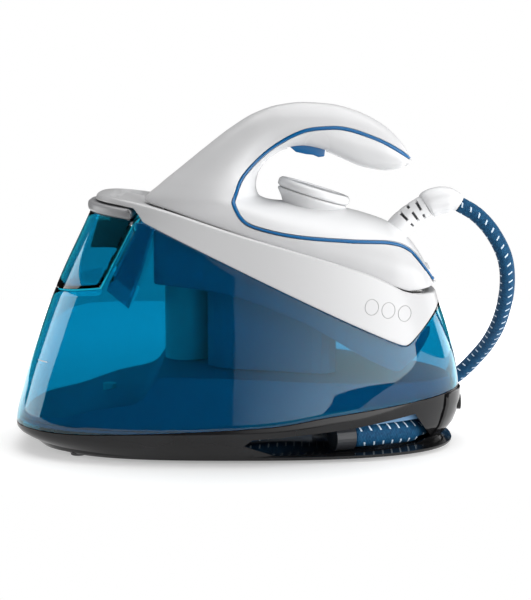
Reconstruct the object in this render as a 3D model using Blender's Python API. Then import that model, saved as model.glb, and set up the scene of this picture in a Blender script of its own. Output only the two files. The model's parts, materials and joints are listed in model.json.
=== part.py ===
"""Steam ironing station: an iron resting on a sloping deck over a translucent water tank.

Frame: X runs along the station, from the tall front end (-X) to the low rear end (+X).
Y is its width and Z is up. The origin is the middle of the footprint, on the table.
Side outlines are written as (x, z) pairs, in metres.
"""

import math

import bmesh
import bpy
from mathutils import Matrix, Vector

# Driving dimensions of the station's body
MID_X = 0.0
FRONT_POWER = 2.9
REAR_POWER = ((0.003, 2.5), (0.0060, 2.5), (0.0066, 1.85), (0.030, 1.85), (0.080, 2.1),
              (0.140, 2.5), (0.235, 2.6))
FRONT_PROFILE = ((0.003, -0.168), (0.022, -0.200), (0.059, -0.192), (0.096, -0.180),
                 (0.147, -0.161), (0.209, -0.132), (0.235, -0.121))
REAR_PROFILE = ((0.003, 0.1900), (0.0045, 0.1915), (0.0060, 0.1915), (0.0066, 0.1830),
                (0.0100, 0.1842), (0.022, 0.1925), (0.044, 0.1978), (0.055, 0.1972),
                (0.081, 0.193), (0.111, 0.184), (0.128, 0.178), (0.140, 0.1745),
                (0.150, 0.171), (0.235, 0.135))
WIDTH_PROFILE = ((0.003, 0.094), (0.022, 0.1065), (0.030, 0.108), (0.080, 0.106),
                 (0.147, 0.098), (0.209, 0.0865), (0.235, 0.081))
SEAM = ((-0.200, 0.025), (-0.160, 0.025), (-0.086, 0.028), (-0.044, 0.030), (0.0, 0.0325),
        (0.035, 0.035), (0.077, 0.041), (0.153, 0.048), (0.200, 0.0525))
RIM = ((-0.135, 0.2268), (-0.115, 0.2250), (-0.095, 0.2222), (-0.075, 0.2182), (0.0, 0.195),
       (0.110, 0.1609), (0.130, 0.1515), (0.145, 0.1437), (0.160, 0.1405), (0.180, 0.1395))
HUMP = ((-0.200, 0.034), (-0.166, 0.036), (-0.117, 0.048), (-0.090, 0.053), (-0.082, 0.057),
        (-0.074, 0.068), (-0.069, 0.0745), (-0.060, 0.0758), (0.163, 0.064), (0.200, 0.062))
PAN_BOTTOM = ((-0.075, 0.152), (-0.020, 0.146), (0.050, 0.122), (0.120, 0.082), (0.137, 0.0745),
              (0.150, 0.082), (0.180, 0.112))
WALL = 0.0025
GAP = 0.0003
TRAY_BOTTOM = 0.003
LIP_HEIGHTS = (0.0045, 0.0060, 0.0066)
TRAY_FLOOR = 0.0055
CREASE = (0.0215, 0.0235)
PANEL_BOTTOM = 0.0100
CHASSIS_Z = (0.0278, 0.0298)
COLUMNS = 48
LIP_THICKNESS = 0.005
PANEL_PROUD = 0.0018
HOUSING_INSET = 0.0070
HOUSING_WALL = 0.0022

# Deck: a rim round a sunken floor that clears the pan under it
RIM_WIDTH = 0.006
RIM_FRONT = -0.111
FLOOR_INSET = 0.0075
FLOOR_FRONT = -0.108
FLOOR_THICKNESS = 0.0024
PAN_FRONT = -0.0715
PAN_INSET = 0.008
PAN_WALL = 0.002

# Deck band: its lower edge is two straight lines joined by a rounded tongue
BAND_FRONT = (0.166, -0.484)
BAND_REAR = (-0.056, 1.05)
BAND_ROUND = 0.003
BAND_START = (-0.0885, -0.0800)

# Fill drawer: its back edge is a sloping straight line and it slides out at a small angle
DRAWER_EDGE_LOW = (-0.1155, 0.149)
DRAWER_EDGE_HIGH = (-0.0865, 0.2055)
DRAWER_SLOPE = math.radians(7.0)
DRAWER_FLOOR_SLOPE = 0.135
DRAWER_GAP = 0.0009
GRIP_BACK = -0.0900
GRIP_EDGE = 0.0025
GRIP_FRONT = (-0.135, 0.2205)
GRIP_THICKNESS = 0.0088
GRIP_PROUD = 0.0035

# Iron: its sole lies on a plane that slopes down to the rear
SOLE_TILT = math.radians(18.0)
SOLE_HEIGHT = 0.190
SOLE_NOSE = -0.081
SOLE_HEEL = 0.1665
SOLE_THICKNESS = 0.004
SOLE_INSET = 0.0029
SHELL_WALL = 0.0022
MAT_THICKNESS = 0.0012

# The iron's shell bends round a C from the handle's free tip to the heel. Each station is
# (inner x, inner z, outer x, outer z, half width, where it is widest, outer half width, fullness)
STATIONS = (
    (0.1470, 0.2487, 0.1520, 0.2540, 0.0050, 0.50, 0.0012, 2.0),
    (0.1400, 0.2452, 0.1475, 0.2635, 0.0115, 0.50, 0.0012, 2.0),
    (0.1295, 0.2440, 0.1320, 0.2810, 0.0160, 0.50, 0.0012, 2.0),
    (0.1110, 0.2470, 0.1060, 0.2960, 0.0185, 0.50, 0.0012, 2.0),
    (0.0930, 0.2540, 0.0800, 0.3030, 0.0200, 0.50, 0.0012, 2.0),
    (0.0760, 0.2610, 0.0560, 0.3045, 0.0205, 0.50, 0.0012, 2.0),
    (0.0570, 0.2650, 0.0340, 0.3020, 0.0210, 0.50, 0.0012, 2.0),
    (0.0410, 0.2630, 0.0130, 0.2948, 0.0215, 0.50, 0.0012, 1.9),
    (0.0300, 0.2575, -0.0080, 0.2820, 0.0225, 0.48, 0.0012, 1.8),
    (0.0210, 0.2490, -0.0290, 0.2660, 0.0250, 0.46, 0.0012, 1.7),
    (0.0160, 0.2400, -0.0520, 0.2475, 0.0285, 0.42, 0.0012, 1.6),
    (0.0147, 0.2310, -0.0705, 0.2325, 0.0330, 0.38, 0.0012, 1.5),
    (0.0170, 0.2230, -0.0845, 0.2187, 0.0370, 0.35, 0.0020, 1.4),
    (0.0290, 0.2182, -0.0530, 0.2085, 0.0400, 0.40, 0.0270, 1.5),
    (0.0480, 0.2168, -0.0130, 0.1955, 0.0460, 0.55, 0.0400, 1.8),
    (0.0700, 0.2145, 0.0320, 0.1809, 0.0520, 0.70, 0.0495, 2.0),
    (0.0940, 0.2110, 0.0740, 0.1672, 0.0550, 0.80, 0.0540, 2.0),
    (0.1150, 0.2055, 0.1060, 0.1568, 0.0560, 0.80, 0.0555, 2.0),
    (0.1330, 0.1985, 0.1320, 0.1484, 0.0550, 0.80, 0.0545, 2.0),
    (0.1470, 0.1885, 0.1490, 0.1429, 0.0510, 0.75, 0.0500, 2.0),
    (0.1580, 0.1755, 0.1630, 0.1445, 0.0440, 0.70, 0.0425, 2.0),
    (0.1660, 0.1620, 0.1715, 0.1470, 0.0330, 0.60, 0.0310, 2.0),
)
FIRST_OPEN_STATION = 12
NOSE_STATION = 12
RING_STEPS = 7

# Blue trim line between the two shells, from past the handle's tip to past the heel
TRIM_PATH = ((0.1640, 0.2460), (0.1525, 0.2545), (0.1280, 0.2690), (0.0970, 0.2805),
             (0.0750, 0.2820), (0.0530, 0.2780), (0.0270, 0.2630), (0.0050, 0.2415),
             (-0.0030, 0.2240), (-0.0040, 0.2160), (0.0050, 0.2020), (0.0230, 0.1950),
             (0.0530, 0.1895), (0.0970, 0.1860), (0.1310, 0.1840), (0.1490, 0.1770),
             (0.1640, 0.1600), (0.1730, 0.1470), (0.1830, 0.1330))
TRIM_WIDTH = 0.0032

# Works under the tank's floor
BOILER_X = 0.020
BOILER_RADIUS = 0.042
PUMP_X = -0.0475
OUTLET_X = -0.118

# Dial, trigger and buttons
DIAL_CENTRE = (0.0664, 0.2262)
DIAL_RADIUS = 0.033
DIAL_THICKNESS = 0.008
DIAL_TILT = math.radians(17.0)
SPINDLE_RADIUS = 0.004
TRIGGER_PIVOT = (0.0475, 0.2675)
TRIGGER_HALF_WIDTH = 0.0075
BUTTON_RADIUS = 0.007
BUTTON_Z = 0.0350

# Steam hose and the pieces on its two ends
HOSE_RADIUS = 0.0069
SLEEVE_RADIUS = 0.0105
SLEEVE_ROUTE = ((0.0980, -0.0665, 0.0190), (0.1130, -0.0610, 0.0190), (0.1290, -0.0530, 0.0186),
                (0.1430, -0.0435, 0.0178), (0.1530, -0.0340, 0.0170))
HOSE_ROUTE = (
    (0.1542, -0.0328, 0.0168), (0.1620, -0.0230, 0.0158), (0.1676, -0.0065, 0.0145),
    (0.1676, 0.0115, 0.0137), (0.1600, 0.0270, 0.0135), (0.1470, 0.0390, 0.0135),
    (0.1310, 0.0505, 0.0135), (0.1000, 0.0590, 0.0135), (0.0500, 0.0650, 0.0135),
    (0.0000, 0.0683, 0.0135), (-0.0500, 0.0690, 0.0135), (-0.0980, 0.0680, 0.0135),
    (-0.1450, 0.0490, 0.0135), (-0.1650, 0.0020, 0.0135), (-0.1450, -0.0445, 0.0135),
    (-0.1000, -0.0640, 0.0135), (-0.0550, -0.0615, 0.0135), (-0.0120, -0.0490, 0.0135),
    (0.0280, -0.0290, 0.0138), (0.0580, -0.0080, 0.0180), (0.0830, 0.0140, 0.0240),
    (0.1040, 0.0360, 0.0286), (0.1240, 0.0600, 0.0295), (0.1440, 0.0840, 0.0276),
    (0.1670, 0.1050, 0.0243), (0.1915, 0.1160, 0.0262), (0.2120, 0.1150, 0.0375),
    (0.2275, 0.1015, 0.0570), (0.2375, 0.0790, 0.0780), (0.2430, 0.0520, 0.1030),
    (0.2445, 0.0260, 0.1350), (0.2395, 0.0090, 0.1640), (0.2270, 0.0025, 0.1880),
    (0.2120, 0.0005, 0.2045), (0.1964, 0.0000, 0.2140),
)
HOSE_POINTS = 78
BOOT_ROUTE = ((0.1355, 0.1850, 0.0108), (0.1440, 0.1952, 0.0112), (0.1500, 0.2018, 0.0104),
              (0.1580, 0.2080, 0.0100), (0.1660, 0.2126, 0.0103))
FERRULE_ROUTE = ((0.16640, 0.21283, 0.0108), (0.16940, 0.21455, 0.0124),
                 (0.17750, 0.21720, 0.0125), (0.18600, 0.21760, 0.0116),
                 (0.19180, 0.21660, 0.0092), (0.19600, 0.21425, 0.0069))


# ---------------------------------------------------------------- outlines and surfaces

def interpolate(knots, x):
    """Monotone cubic curve through knots, with straight ends."""
    last = len(knots) - 1
    if x <= knots[0][0] or x >= knots[last][0]:
        near, far = (knots[0], knots[1]) if x <= knots[0][0] else (knots[last], knots[last - 1])
        return near[1] + (x - near[0]) * (near[1] - far[1]) / (near[0] - far[0])
    i = max(k for k in range(last) if knots[k][0] <= x)
    steps = [(knots[k + 1][1] - knots[k][1]) / (knots[k + 1][0] - knots[k][0]) for k in range(last)]

    def slope(k):
        if k in (0, last):
            return steps[min(k, last - 1)]
        before, after = steps[k - 1], steps[k]
        return 0.0 if before * after <= 0 else 2 * before * after / (before + after)

    width = knots[i + 1][0] - knots[i][0]
    t = (x - knots[i][0]) / width
    a, b = knots[i][1], knots[i + 1][1]
    return ((2 * t ** 3 - 3 * t ** 2 + 1) * a + (t ** 3 - 2 * t ** 2 + t) * width * slope(i)
            + (3 * t ** 2 - 2 * t ** 3) * b + (t ** 3 - t ** 2) * width * slope(i + 1))


def seam(x):
    return interpolate(SEAM, x)


def rim(x):
    return interpolate(RIM, x)


def hump(x):
    return interpolate(HUMP, x)


def band_edge(x):
    """Lower edge of the deck: a thin lip at the front, then the band and its tongue."""
    front = BAND_FRONT[0] + BAND_FRONT[1] * x
    rear = BAND_REAR[0] + BAND_REAR[1] * x
    band = (front + rear) / 2 + math.hypot((front - rear) / 2, BAND_ROUND)
    lip = rim(x) - LIP_THICKNESS
    if x <= BAND_START[0]:
        return lip
    if x >= BAND_START[1]:
        return band
    share = (x - BAND_START[0]) / (BAND_START[1] - BAND_START[0])
    return lip + (band - lip) * share


def drawer_line(z):
    """X of the sloping edge between the drawer and the tank at height z."""
    slope = (DRAWER_EDGE_HIGH[0] - DRAWER_EDGE_LOW[0]) / (DRAWER_EDGE_HIGH[1] - DRAWER_EDGE_LOW[1])
    return DRAWER_EDGE_LOW[0] + slope * (z - DRAWER_EDGE_LOW[1])


def drawer_bottom(x):
    return DRAWER_EDGE_LOW[1] + DRAWER_FLOOR_SLOPE * (x - DRAWER_EDGE_LOW[0])


def grip_top(x):
    return GRIP_FRONT[1] - math.tan(DRAWER_SLOPE) * (x - GRIP_FRONT[0])


def drawer_top(x):
    return grip_top(x) - GRIP_THICKNESS - 0.0004


def tank_top(x):
    """Upper edge of the tank: round the drawer's opening, then under the deck band."""
    low_x, low_z = DRAWER_EDGE_LOW
    high_x, high_z = DRAWER_EDGE_HIGH
    if x <= low_x:
        edge = drawer_bottom(x)
    elif x <= high_x:
        edge = low_z + (high_z - low_z) * (x - low_x) / (high_x - low_x)
    else:
        edge = band_edge(max(x, BAND_START[1]))
    return min(edge, band_edge(max(x, BAND_START[1]))) - 0.0005


def floor_plane(x):
    return SOLE_HEIGHT - 0.0019 - math.tan(SOLE_TILT) * x


def hull_point(angle, z, inset=0.0):
    """Point on the body's outside at height z, moved inwards by inset. Angle 0 is the rear."""
    cosine, sine = math.cos(angle), math.sin(angle)
    half = interpolate(WIDTH_PROFILE, z)
    if cosine >= 0:
        reach, power = interpolate(REAR_PROFILE, z) - MID_X, interpolate(REAR_POWER, z)
    else:
        reach, power = MID_X - interpolate(FRONT_PROFILE, z), FRONT_POWER
    share = 2 / power
    x = MID_X + math.copysign(reach * abs(cosine) ** share, cosine)
    y = math.copysign(half * abs(sine) ** share, sine)
    if inset == 0.0:
        return Vector((x, y, z))
    across = abs((x - MID_X) / reach) ** (power - 1) / reach
    along = abs(y / half) ** (power - 1) / half
    normal = Vector((math.copysign(across, x - MID_X), math.copysign(along, y))).normalized()
    return Vector((x - normal.x * inset, y - normal.y * inset, z))


def hull_at(angle, edge, inset=0.0):
    """Point on the body where it meets the side curve edge(x)."""
    z = edge(0.0)
    for _ in range(40):
        z = 0.5 * z + 0.5 * edge(hull_point(angle, z).x)
    return hull_point(angle, z, inset)


def angles(count=COLUMNS):
    return [2 * math.pi * i / count for i in range(count)]


def body_angles():
    """Even angles round the body, two a side moved to the corners of the drawer's opening."""
    even = angles()
    for x, z in (DRAWER_EDGE_LOW, DRAWER_EDGE_HIGH):
        share = (MID_X - x) / (MID_X - interpolate(FRONT_PROFILE, z))
        corner = math.acos(-share ** (FRONT_POWER / 2))
        i = min(range(COLUMNS), key=lambda k: abs(even[k] - corner))
        even[i] = corner
        even[-i] = 2 * math.pi - corner
    return even


def band_rings(lower, upper, levels, inset):
    """Rings on the body between two side curves, from the lower one up."""
    rings = []
    for level in range(levels + 1):
        share = level / levels
        ring = []
        for angle in body_angles():
            low = hull_at(angle, lower).z
            high = hull_at(angle, upper).z
            ring.append(hull_point(angle, low + (high - low) * share, inset))
        rings.append(ring)
    return rings


def clamped(rings, least_x):
    """The same rings with nothing in front of least_x, which leaves a flat front wall."""
    return [[Vector((max(p.x, least_x), p.y, p.z)) for p in ring] for ring in rings]


# ---------------------------------------------------------------- objects from meshes

def clear_scene():
    for old in list(bpy.data.objects):
        bpy.data.objects.remove(old, do_unlink=True)


def material(name, colour, roughness, metallic=0.0, alpha=1.0):
    made = bpy.data.materials.new(name)
    made.use_nodes = True
    shader = made.node_tree.nodes["Principled BSDF"]
    shader.inputs["Base Color"].default_value = (*colour, 1.0)
    shader.inputs["Roughness"].default_value = roughness
    shader.inputs["Metallic"].default_value = metallic
    shader.inputs["Alpha"].default_value = alpha
    made.diffuse_color = (*colour, alpha)
    return made


def finish(name, bm, look=None, smooth=True):
    """Turns a bmesh into a scene object with its faces outwards."""
    bmesh.ops.recalc_face_normals(bm, faces=bm.faces)
    mesh = bpy.data.meshes.new(name)
    bm.to_mesh(mesh)
    bm.free()
    if smooth:
        mesh.shade_smooth()
        mesh.set_sharp_from_angle(angle=math.radians(35))
    made = bpy.data.objects.new(name, mesh)
    bpy.context.scene.collection.objects.link(made)
    if look is not None:
        mesh.materials.append(look)
    return made


def skin(bm, rings, wrap=False, caps=("face", "face")):
    """Joins rings of points with quads. wrap joins the last ring to the first one."""
    made = [[bm.verts.new(p) for p in ring] for ring in rings]
    count = len(made[0])
    pairs = list(zip(made, made[1:]))
    if wrap:
        pairs.append((made[-1], made[0]))
    for low, high in pairs:
        for i in range(count):
            j = (i + 1) % count
            bm.faces.new((low[i], low[j], high[j], high[i]))
    if not wrap:
        close(bm, made[0], caps[0])
        close(bm, made[-1], caps[1])


def close(bm, ring, style):
    """Closes a ring with one face, or with strips across Y where the ring isn't flat."""
    if style == "face":
        bm.faces.new(ring)
        return
    count = len(ring)
    for i in range(count // 2):
        corners = []
        for k in (i, i + 1, (count - i - 1) % count, (count - i) % count):
            if ring[k] not in corners:
                corners.append(ring[k])
        bm.faces.new(corners)


def lofted(name, rings, look, wrap=False, caps=("face", "face")):
    bm = bmesh.new()
    skin(bm, rings, wrap, caps)
    return finish(name, bm, look)


def frame_to(start, end):
    """Matrix that puts +Z on the line from start to end, centred between them."""
    direction = Vector(end) - Vector(start)
    turn = direction.to_track_quat("Z", "Y").to_matrix().to_4x4()
    return Matrix.Translation((Vector(start) + Vector(end)) / 2) @ turn


def cylinder(name, start, end, radius, look=None, end_radius=None, segments=28):
    bm = bmesh.new()
    length = (Vector(end) - Vector(start)).length
    bmesh.ops.create_cone(bm, cap_ends=True, segments=segments, radius1=radius,
                          radius2=radius if end_radius is None else end_radius, depth=length)
    bmesh.ops.transform(bm, matrix=frame_to(start, end), verts=bm.verts)
    return finish(name, bm, look)


def box(name, low, high, look=None, bevel=0.0):
    bm = bmesh.new()
    size = Vector(high) - Vector(low)
    middle = (Vector(high) + Vector(low)) / 2
    bmesh.ops.create_cube(bm, size=1.0)
    bmesh.ops.scale(bm, vec=size, verts=bm.verts)
    bmesh.ops.translate(bm, vec=middle, verts=bm.verts)
    if bevel:
        bmesh.ops.bevel(bm, geom=bm.edges[:], offset=bevel, segments=1, affect="EDGES")
    return finish(name, bm, look, smooth=False)


def prism(name, outline, low_y, high_y, look=None):
    """Side outline (x, z) extruded from low_y to high_y."""
    rings = [[Vector((x, y, z)) for x, z in outline] for y in (low_y, high_y)]
    return lofted(name, rings, look)


def slab(name, outline, low_z, high_z, look=None):
    """Plan outline (x, y) extruded from low_z to high_z."""
    rings = [[Vector((x, y, z)) for x, y in outline] for z in (low_z, high_z)]
    return lofted(name, rings, look)


def turned(name, profile, base, axis, look, segments=28, wrap=False):
    """Profile of (radius, height) points turned about an axis. wrap closes it as a ring."""
    turn = Vector(axis).to_track_quat("Z", "Y").to_matrix().to_4x4()
    place = Matrix.Translation(Vector(base)) @ turn
    bm = bmesh.new()
    rings = []
    for radius, height in profile:
        ring = [place @ Vector((radius * math.cos(a), radius * math.sin(a), height))
                for a in angles(segments)]
        rings.append(ring)
    skin(bm, rings, wrap)
    return finish(name, bm, look)


def spline_through(points, count):
    """Evenly spaced points on a smooth curve through the given ones."""
    vectors = [Vector(p) for p in points]
    fine = []
    for i in range(len(vectors) - 1):
        before = vectors[max(i - 1, 0)]
        start, end = vectors[i], vectors[i + 1]
        after = vectors[min(i + 2, len(vectors) - 1)]
        for k in range(24):
            t = k / 24
            fine.append(0.5 * ((2 * start) + (end - before) * t
                               + (2 * before - 5 * start + 4 * end - after) * t ** 2
                               + (3 * start - before - 3 * end + after) * t ** 3))
    fine.append(vectors[-1])
    travelled = [0.0]
    for a, b in zip(fine, fine[1:]):
        travelled.append(travelled[-1] + (b - a).length)
    even = []
    k = 0
    for i in range(count):
        target = travelled[-1] * i / (count - 1)
        while k < len(fine) - 2 and travelled[k + 1] < target:
            k += 1
        span = travelled[k + 1] - travelled[k]
        even.append(fine[k].lerp(fine[k + 1], (target - travelled[k]) / span))
    return even


def tube(name, points, radius, look, sides=2, radii=None):
    """Round tube along points, as a curve with a bevel and filled ends."""
    curve = bpy.data.curves.new(name, "CURVE")
    curve.dimensions = "3D"
    curve.bevel_depth = radius
    curve.bevel_resolution = sides
    curve.use_fill_caps = True
    spline = curve.splines.new("POLY")
    spline.points.add(len(points) - 1)
    for i, p in enumerate(points):
        spline.points[i].co = (*p, 1.0)
        spline.points[i].radius = 1.0 if radii is None else radii[i] / radius
    made = bpy.data.objects.new(name, curve)
    bpy.context.scene.collection.objects.link(made)
    curve.materials.append(look)
    return made


def boolean(target, tool, operation="DIFFERENCE"):
    step = target.modifiers.new(operation.title(), "BOOLEAN")
    step.operation = operation
    step.solver = "EXACT"
    step.object = tool
    tool.hide_render = True
    tool.display_type = "WIRE"


def set_origin(made, place):
    """Moves an object's origin to a joint's axis without moving its shape."""
    place = Vector(place)
    made.data.transform(Matrix.Translation(-place))
    made.location = place


# ---------------------------------------------------------------- station

def slot_outline(upper):
    """Side outline of the hose slot in the tray's wall."""
    return [(0.0050, 0.0180), (0.0120, 0.0235), *upper, (0.1700, 0.0110), (0.1560, 0.0070),
            (0.0320, 0.0070)]


def base_tray(look):
    heights = (TRAY_BOTTOM, *LIP_HEIGHTS, PANEL_BOTTOM, *CREASE)
    outside = [[hull_point(a, z) for a in body_angles()] for z in heights]
    top = band_rings(seam, seam, 1, 0.0)[:1]
    top_in = band_rings(seam, seam, 1, WALL)[:1]
    mid_in = [[hull_point(a, CREASE[0], WALL) for a in body_angles()]]
    low_in = [[hull_point(a, PANEL_BOTTOM, WALL + 0.0015) for a in body_angles()]]
    for p in low_in[0]:
        p.z = TRAY_FLOOR
    made = lofted("base_tray", outside + top + top_in + mid_in + low_in, look)
    near = slot_outline([(0.0980, 0.0300), (0.1530, 0.0370)])
    far = slot_outline([(0.0980, 0.0345), (0.1530, 0.0405)])
    boolean(made, prism("cut_near_slot", near, -0.120, -0.030))
    boolean(made, prism("cut_far_slot", far, 0.030, 0.120))
    boolean(made, cylinder("cut_button", (0.180, 0, BUTTON_Z), (0.205, 0, BUTTON_Z),
                           BUTTON_RADIUS + 0.0004))
    boolean(made, cylinder("cut_lens", (0.186, 0.016, BUTTON_Z), (0.202, 0.016, BUTTON_Z), 0.0023))
    boolean(made, cylinder("cut_mains", (-0.030, 0.085, 0.0145), (-0.030, 0.115, 0.0145), 0.0083))
    for i, (x, y) in enumerate(screw_places()):
        boolean(made, cylinder(f"cut_screw_{i + 1}", (x, y, 0.0), (x, y, 0.010), 0.0019,
                               segments=16))
    return made


def end_panel(look):
    """Glossy panel on the rear end, standing a little proud of the tray."""
    def high(x):
        return seam(x) - 0.0012

    rings = []
    for z in (PANEL_BOTTOM, *CREASE, None):
        outer, inner = [], []
        for i in range(-3, 4):
            angle = 2 * math.pi * i / COLUMNS
            level = hull_at(angle, high).z if z is None else z
            outer.append(hull_point(angle, level, -PANEL_PROUD))
            inner.append(hull_point(angle, level, -GAP))
        rings.append(outer + inner[::-1])
    made = lofted("end_panel", rings, look)
    boolean(made, cylinder("cut_panel_button", (0.190, 0, BUTTON_Z), (0.205, 0, BUTTON_Z),
                           BUTTON_RADIUS + 0.0004))
    boolean(made, cylinder("cut_panel_lens", (0.186, 0.016, BUTTON_Z), (0.203, 0.016, BUTTON_Z),
                           0.0023))
    return made


def water_tank(look):
    def low(x):
        return seam(x) + GAP

    outer = band_rings(low, tank_top, 4, 0.0)
    inner = band_rings(low, tank_top, 4, WALL)
    return lofted("water_tank", outer + inner[::-1], look, wrap=True)


def deck(look):
    """Sloping rest: a skirt outside, a rim on top and a sunken floor for the iron."""
    def under(x):
        return floor_plane(x) - FLOOR_THICKNESS

    skirt_out = band_rings(band_edge, rim, 3, 0.0)
    rim_in = clamped(band_rings(rim, rim, 1, RIM_WIDTH)[:1], RIM_FRONT)
    floor_in = []
    for ring in clamped(band_rings(rim, rim, 1, FLOOR_INSET)[:1], FLOOR_FRONT):
        floor_in.append([Vector((p.x, p.y, floor_plane(p.x))) for p in ring])
    skirt_in = band_rings(band_edge, band_edge, 1, WALL)[:1]
    under_ring = []
    for ring in band_rings(rim, rim, 1, WALL + 0.0012)[:1]:
        under_ring.append([Vector((p.x, p.y, max(under(p.x), band_edge(p.x)) if p.x < -0.075
                                   else under(p.x))) for p in ring])
    rings = under_ring + skirt_in + skirt_out + rim_in + floor_in
    return lofted("deck", rings, look, caps=("strips", "strips"))


def deck_pan(look):
    """Dark pan under the deck, open at the top."""
    def low(x):
        return interpolate(PAN_BOTTOM, x)

    def high(x):
        return floor_plane(x) - FLOOR_THICKNESS - 0.0008

    def ring(share, inset, front_x, lift=0.0):
        points = []
        for p in band_rings(low, high, 1, inset)[1]:
            x = max(p.x, front_x)
            points.append(Vector((x, p.y, low(x) + (high(x) - low(x)) * share + lift)))
        return points

    inside = PAN_INSET + PAN_WALL
    rings = [ring(0, PAN_INSET, PAN_FRONT), ring(1, PAN_INSET, PAN_FRONT),
             ring(1, inside, PAN_FRONT + PAN_WALL), ring(0, inside, PAN_FRONT + PAN_WALL, PAN_WALL)]
    return lofted("deck_pan", rings, look, caps=("strips", "strips"))


def inner_housing(look):
    """Black floor of the tank, with the works under it. It sweeps up towards the rear."""
    def low(x):
        return CHASSIS_Z[1] + GAP + 0.0002

    def inside_top(x):
        return hump(x) - HOUSING_WALL

    outer = band_rings(low, hump, 2, HOUSING_INSET)
    inner = band_rings(low, inside_top, 2, HOUSING_INSET + HOUSING_WALL)
    made = lofted("inner_housing", outer[::-1] + inner, look, caps=("strips", "strips"))
    boolean(made, cylinder("cut_boiler", (BOILER_X, 0, 0.050), (BOILER_X, 0, 0.090), 0.047,
                           segments=40))
    boolean(made, cylinder("cut_pump", (PUMP_X, 0, 0.060), (PUMP_X, 0, 0.090), 0.0150))
    boolean(made, cylinder("cut_outlet", (OUTLET_X, 0, 0.035), (OUTLET_X, 0, 0.060), 0.0064))
    boolean(made, box("cut_switch", (0.170, -0.013, 0.020), (0.205, 0.020, 0.0475)))
    boolean(made, box("cut_hose", (0.100, 0.045, 0.020), (0.150, 0.090, 0.0380)))
    return made


def rounded_rectangle(low, high, radius, count=4):
    corners = ((high[0] - radius, high[1] - radius, 0), (low[0] + radius, high[1] - radius, 90),
               (low[0] + radius, low[1] + radius, 180), (high[0] - radius, low[1] + radius, 270))
    points = []
    for x, y, start in corners:
        for k in range(count + 1):
            a = math.radians(start + 90 * k / count)
            points.append((x + radius * math.cos(a), y + radius * math.sin(a)))
    return divided(points, 0.012)


def divided(outline, longest):
    """The outline with its long straight stretches split, so that it can follow a curve."""
    points = []
    for i, start in enumerate(outline):
        end = outline[(i + 1) % len(outline)]
        pieces = max(1, math.ceil(math.dist(start, end) / longest))
        for k in range(pieces):
            share = k / pieces
            points.append((start[0] + (end[0] - start[0]) * share,
                           start[1] + (end[1] - start[1]) * share))
    return points


def boiler_tower(look):
    outer = rounded_rectangle((-0.0275, -0.058), (0.0850, 0.058), 0.022)
    inner = rounded_rectangle((-0.0253, -0.0558), (0.0828, 0.0558), 0.0198)

    def ring(outline, low):
        points = []
        for x, y in outline:
            z = hump(x) + 0.0012 if low else interpolate(PAN_BOTTOM, x) - 0.0016
            points.append(Vector((x, y, z)))
        return points

    rings = [ring(outer, True), ring(outer, False), ring(inner, False), ring(inner, True)]
    return lofted("boiler_tower", rings, look, wrap=True)


def fill_drawer(look):
    """Cup whose front is part of the body's outside, with a sloping flat back."""
    count = 24

    def section(level, inset):
        points = []
        for i in range(count + 1):
            angle = math.radians(110) + math.radians(140) * i / count

            def edge(x):
                low, high = drawer_bottom(x) + DRAWER_GAP, drawer_top(x)
                return low + (high - low) * level

            p = hull_at(angle, edge, inset)
            limit = drawer_line(p.z) - DRAWER_GAP - inset
            points.append(Vector((min(p.x, limit), p.y, p.z)))
        return points

    outer = [section(level / 4, 0.0) for level in range(5)]
    inner = [section(level / 4, WALL) for level in range(5)]
    for p in inner[0]:
        p.z += WALL
    return lofted("fill_drawer", outer + inner[::-1], look)


def drawer_outline(proud):
    """Plan outline of the drawer's grip, standing proud of the body."""
    points = []
    for i in range(25):
        angle = math.radians(112 + 136 * i / 24)
        p = hull_point(angle, 0.214, -proud)
        points.append((min(p.x, GRIP_BACK), p.y))
    return points


def drawer_grip(look):
    outline = drawer_outline(GRIP_PROUD)
    small = drawer_outline(GRIP_PROUD - GRIP_EDGE)

    def ring(points, drop):
        return [Vector((x, y, grip_top(x) - drop)) for x, y in points]

    rings = [ring(small, GRIP_THICKNESS), ring(outline, GRIP_THICKNESS - GRIP_EDGE),
             ring(outline, GRIP_EDGE), ring(small, 0.0)]
    return lofted("drawer_grip", rings, look)


def drawer_block(look):
    outline = ((-0.1280, 0.1800), (-0.1050, 0.1800), (-0.0925, 0.2045), (-0.1200, 0.2068))
    return prism("drawer_block", outline, -0.046, 0.046, look)


def fill_chute(look):
    """Inclined open-ended guide behind the drawer."""
    outline = ((-0.1125, 0.1490), (-0.1150, 0.1420), (-0.0960, 0.1260), (-0.0840, 0.1580),
               (-0.0745, 0.1900), (-0.0740, 0.2030), (-0.0842, 0.2030))
    hollow = ((-0.1090, 0.1500), (-0.1240, 0.1400), (-0.1020, 0.1200), (-0.0862, 0.1590),
              (-0.0767, 0.1905), (-0.0762, 0.2010), (-0.0838, 0.2010))
    made = prism("fill_chute", outline, -0.042, 0.042, look)
    boolean(made, prism("cut_chute", hollow, -0.040, 0.040))
    return made


def chassis_plate(look):
    outline = []
    for a in body_angles():
        p = hull_point(a, CHASSIS_Z[0], WALL + 0.0012)
        if p.x < 0.068:
            outline.append((p.x, p.y))
    return slab("chassis_plate", outline, *CHASSIS_Z, look)


def rest_mat(look):
    """Thin mat on the deck's floor, in the outline of the iron's sole."""
    outline = sole_outline(0.006, -0.070, 0.160)
    rings = []
    for height in (-GAP - MAT_THICKNESS, -GAP):
        rings.append([iron_point(s, y, height) for s, y in outline])
    return lofted("rest_mat", rings, look)


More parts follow.
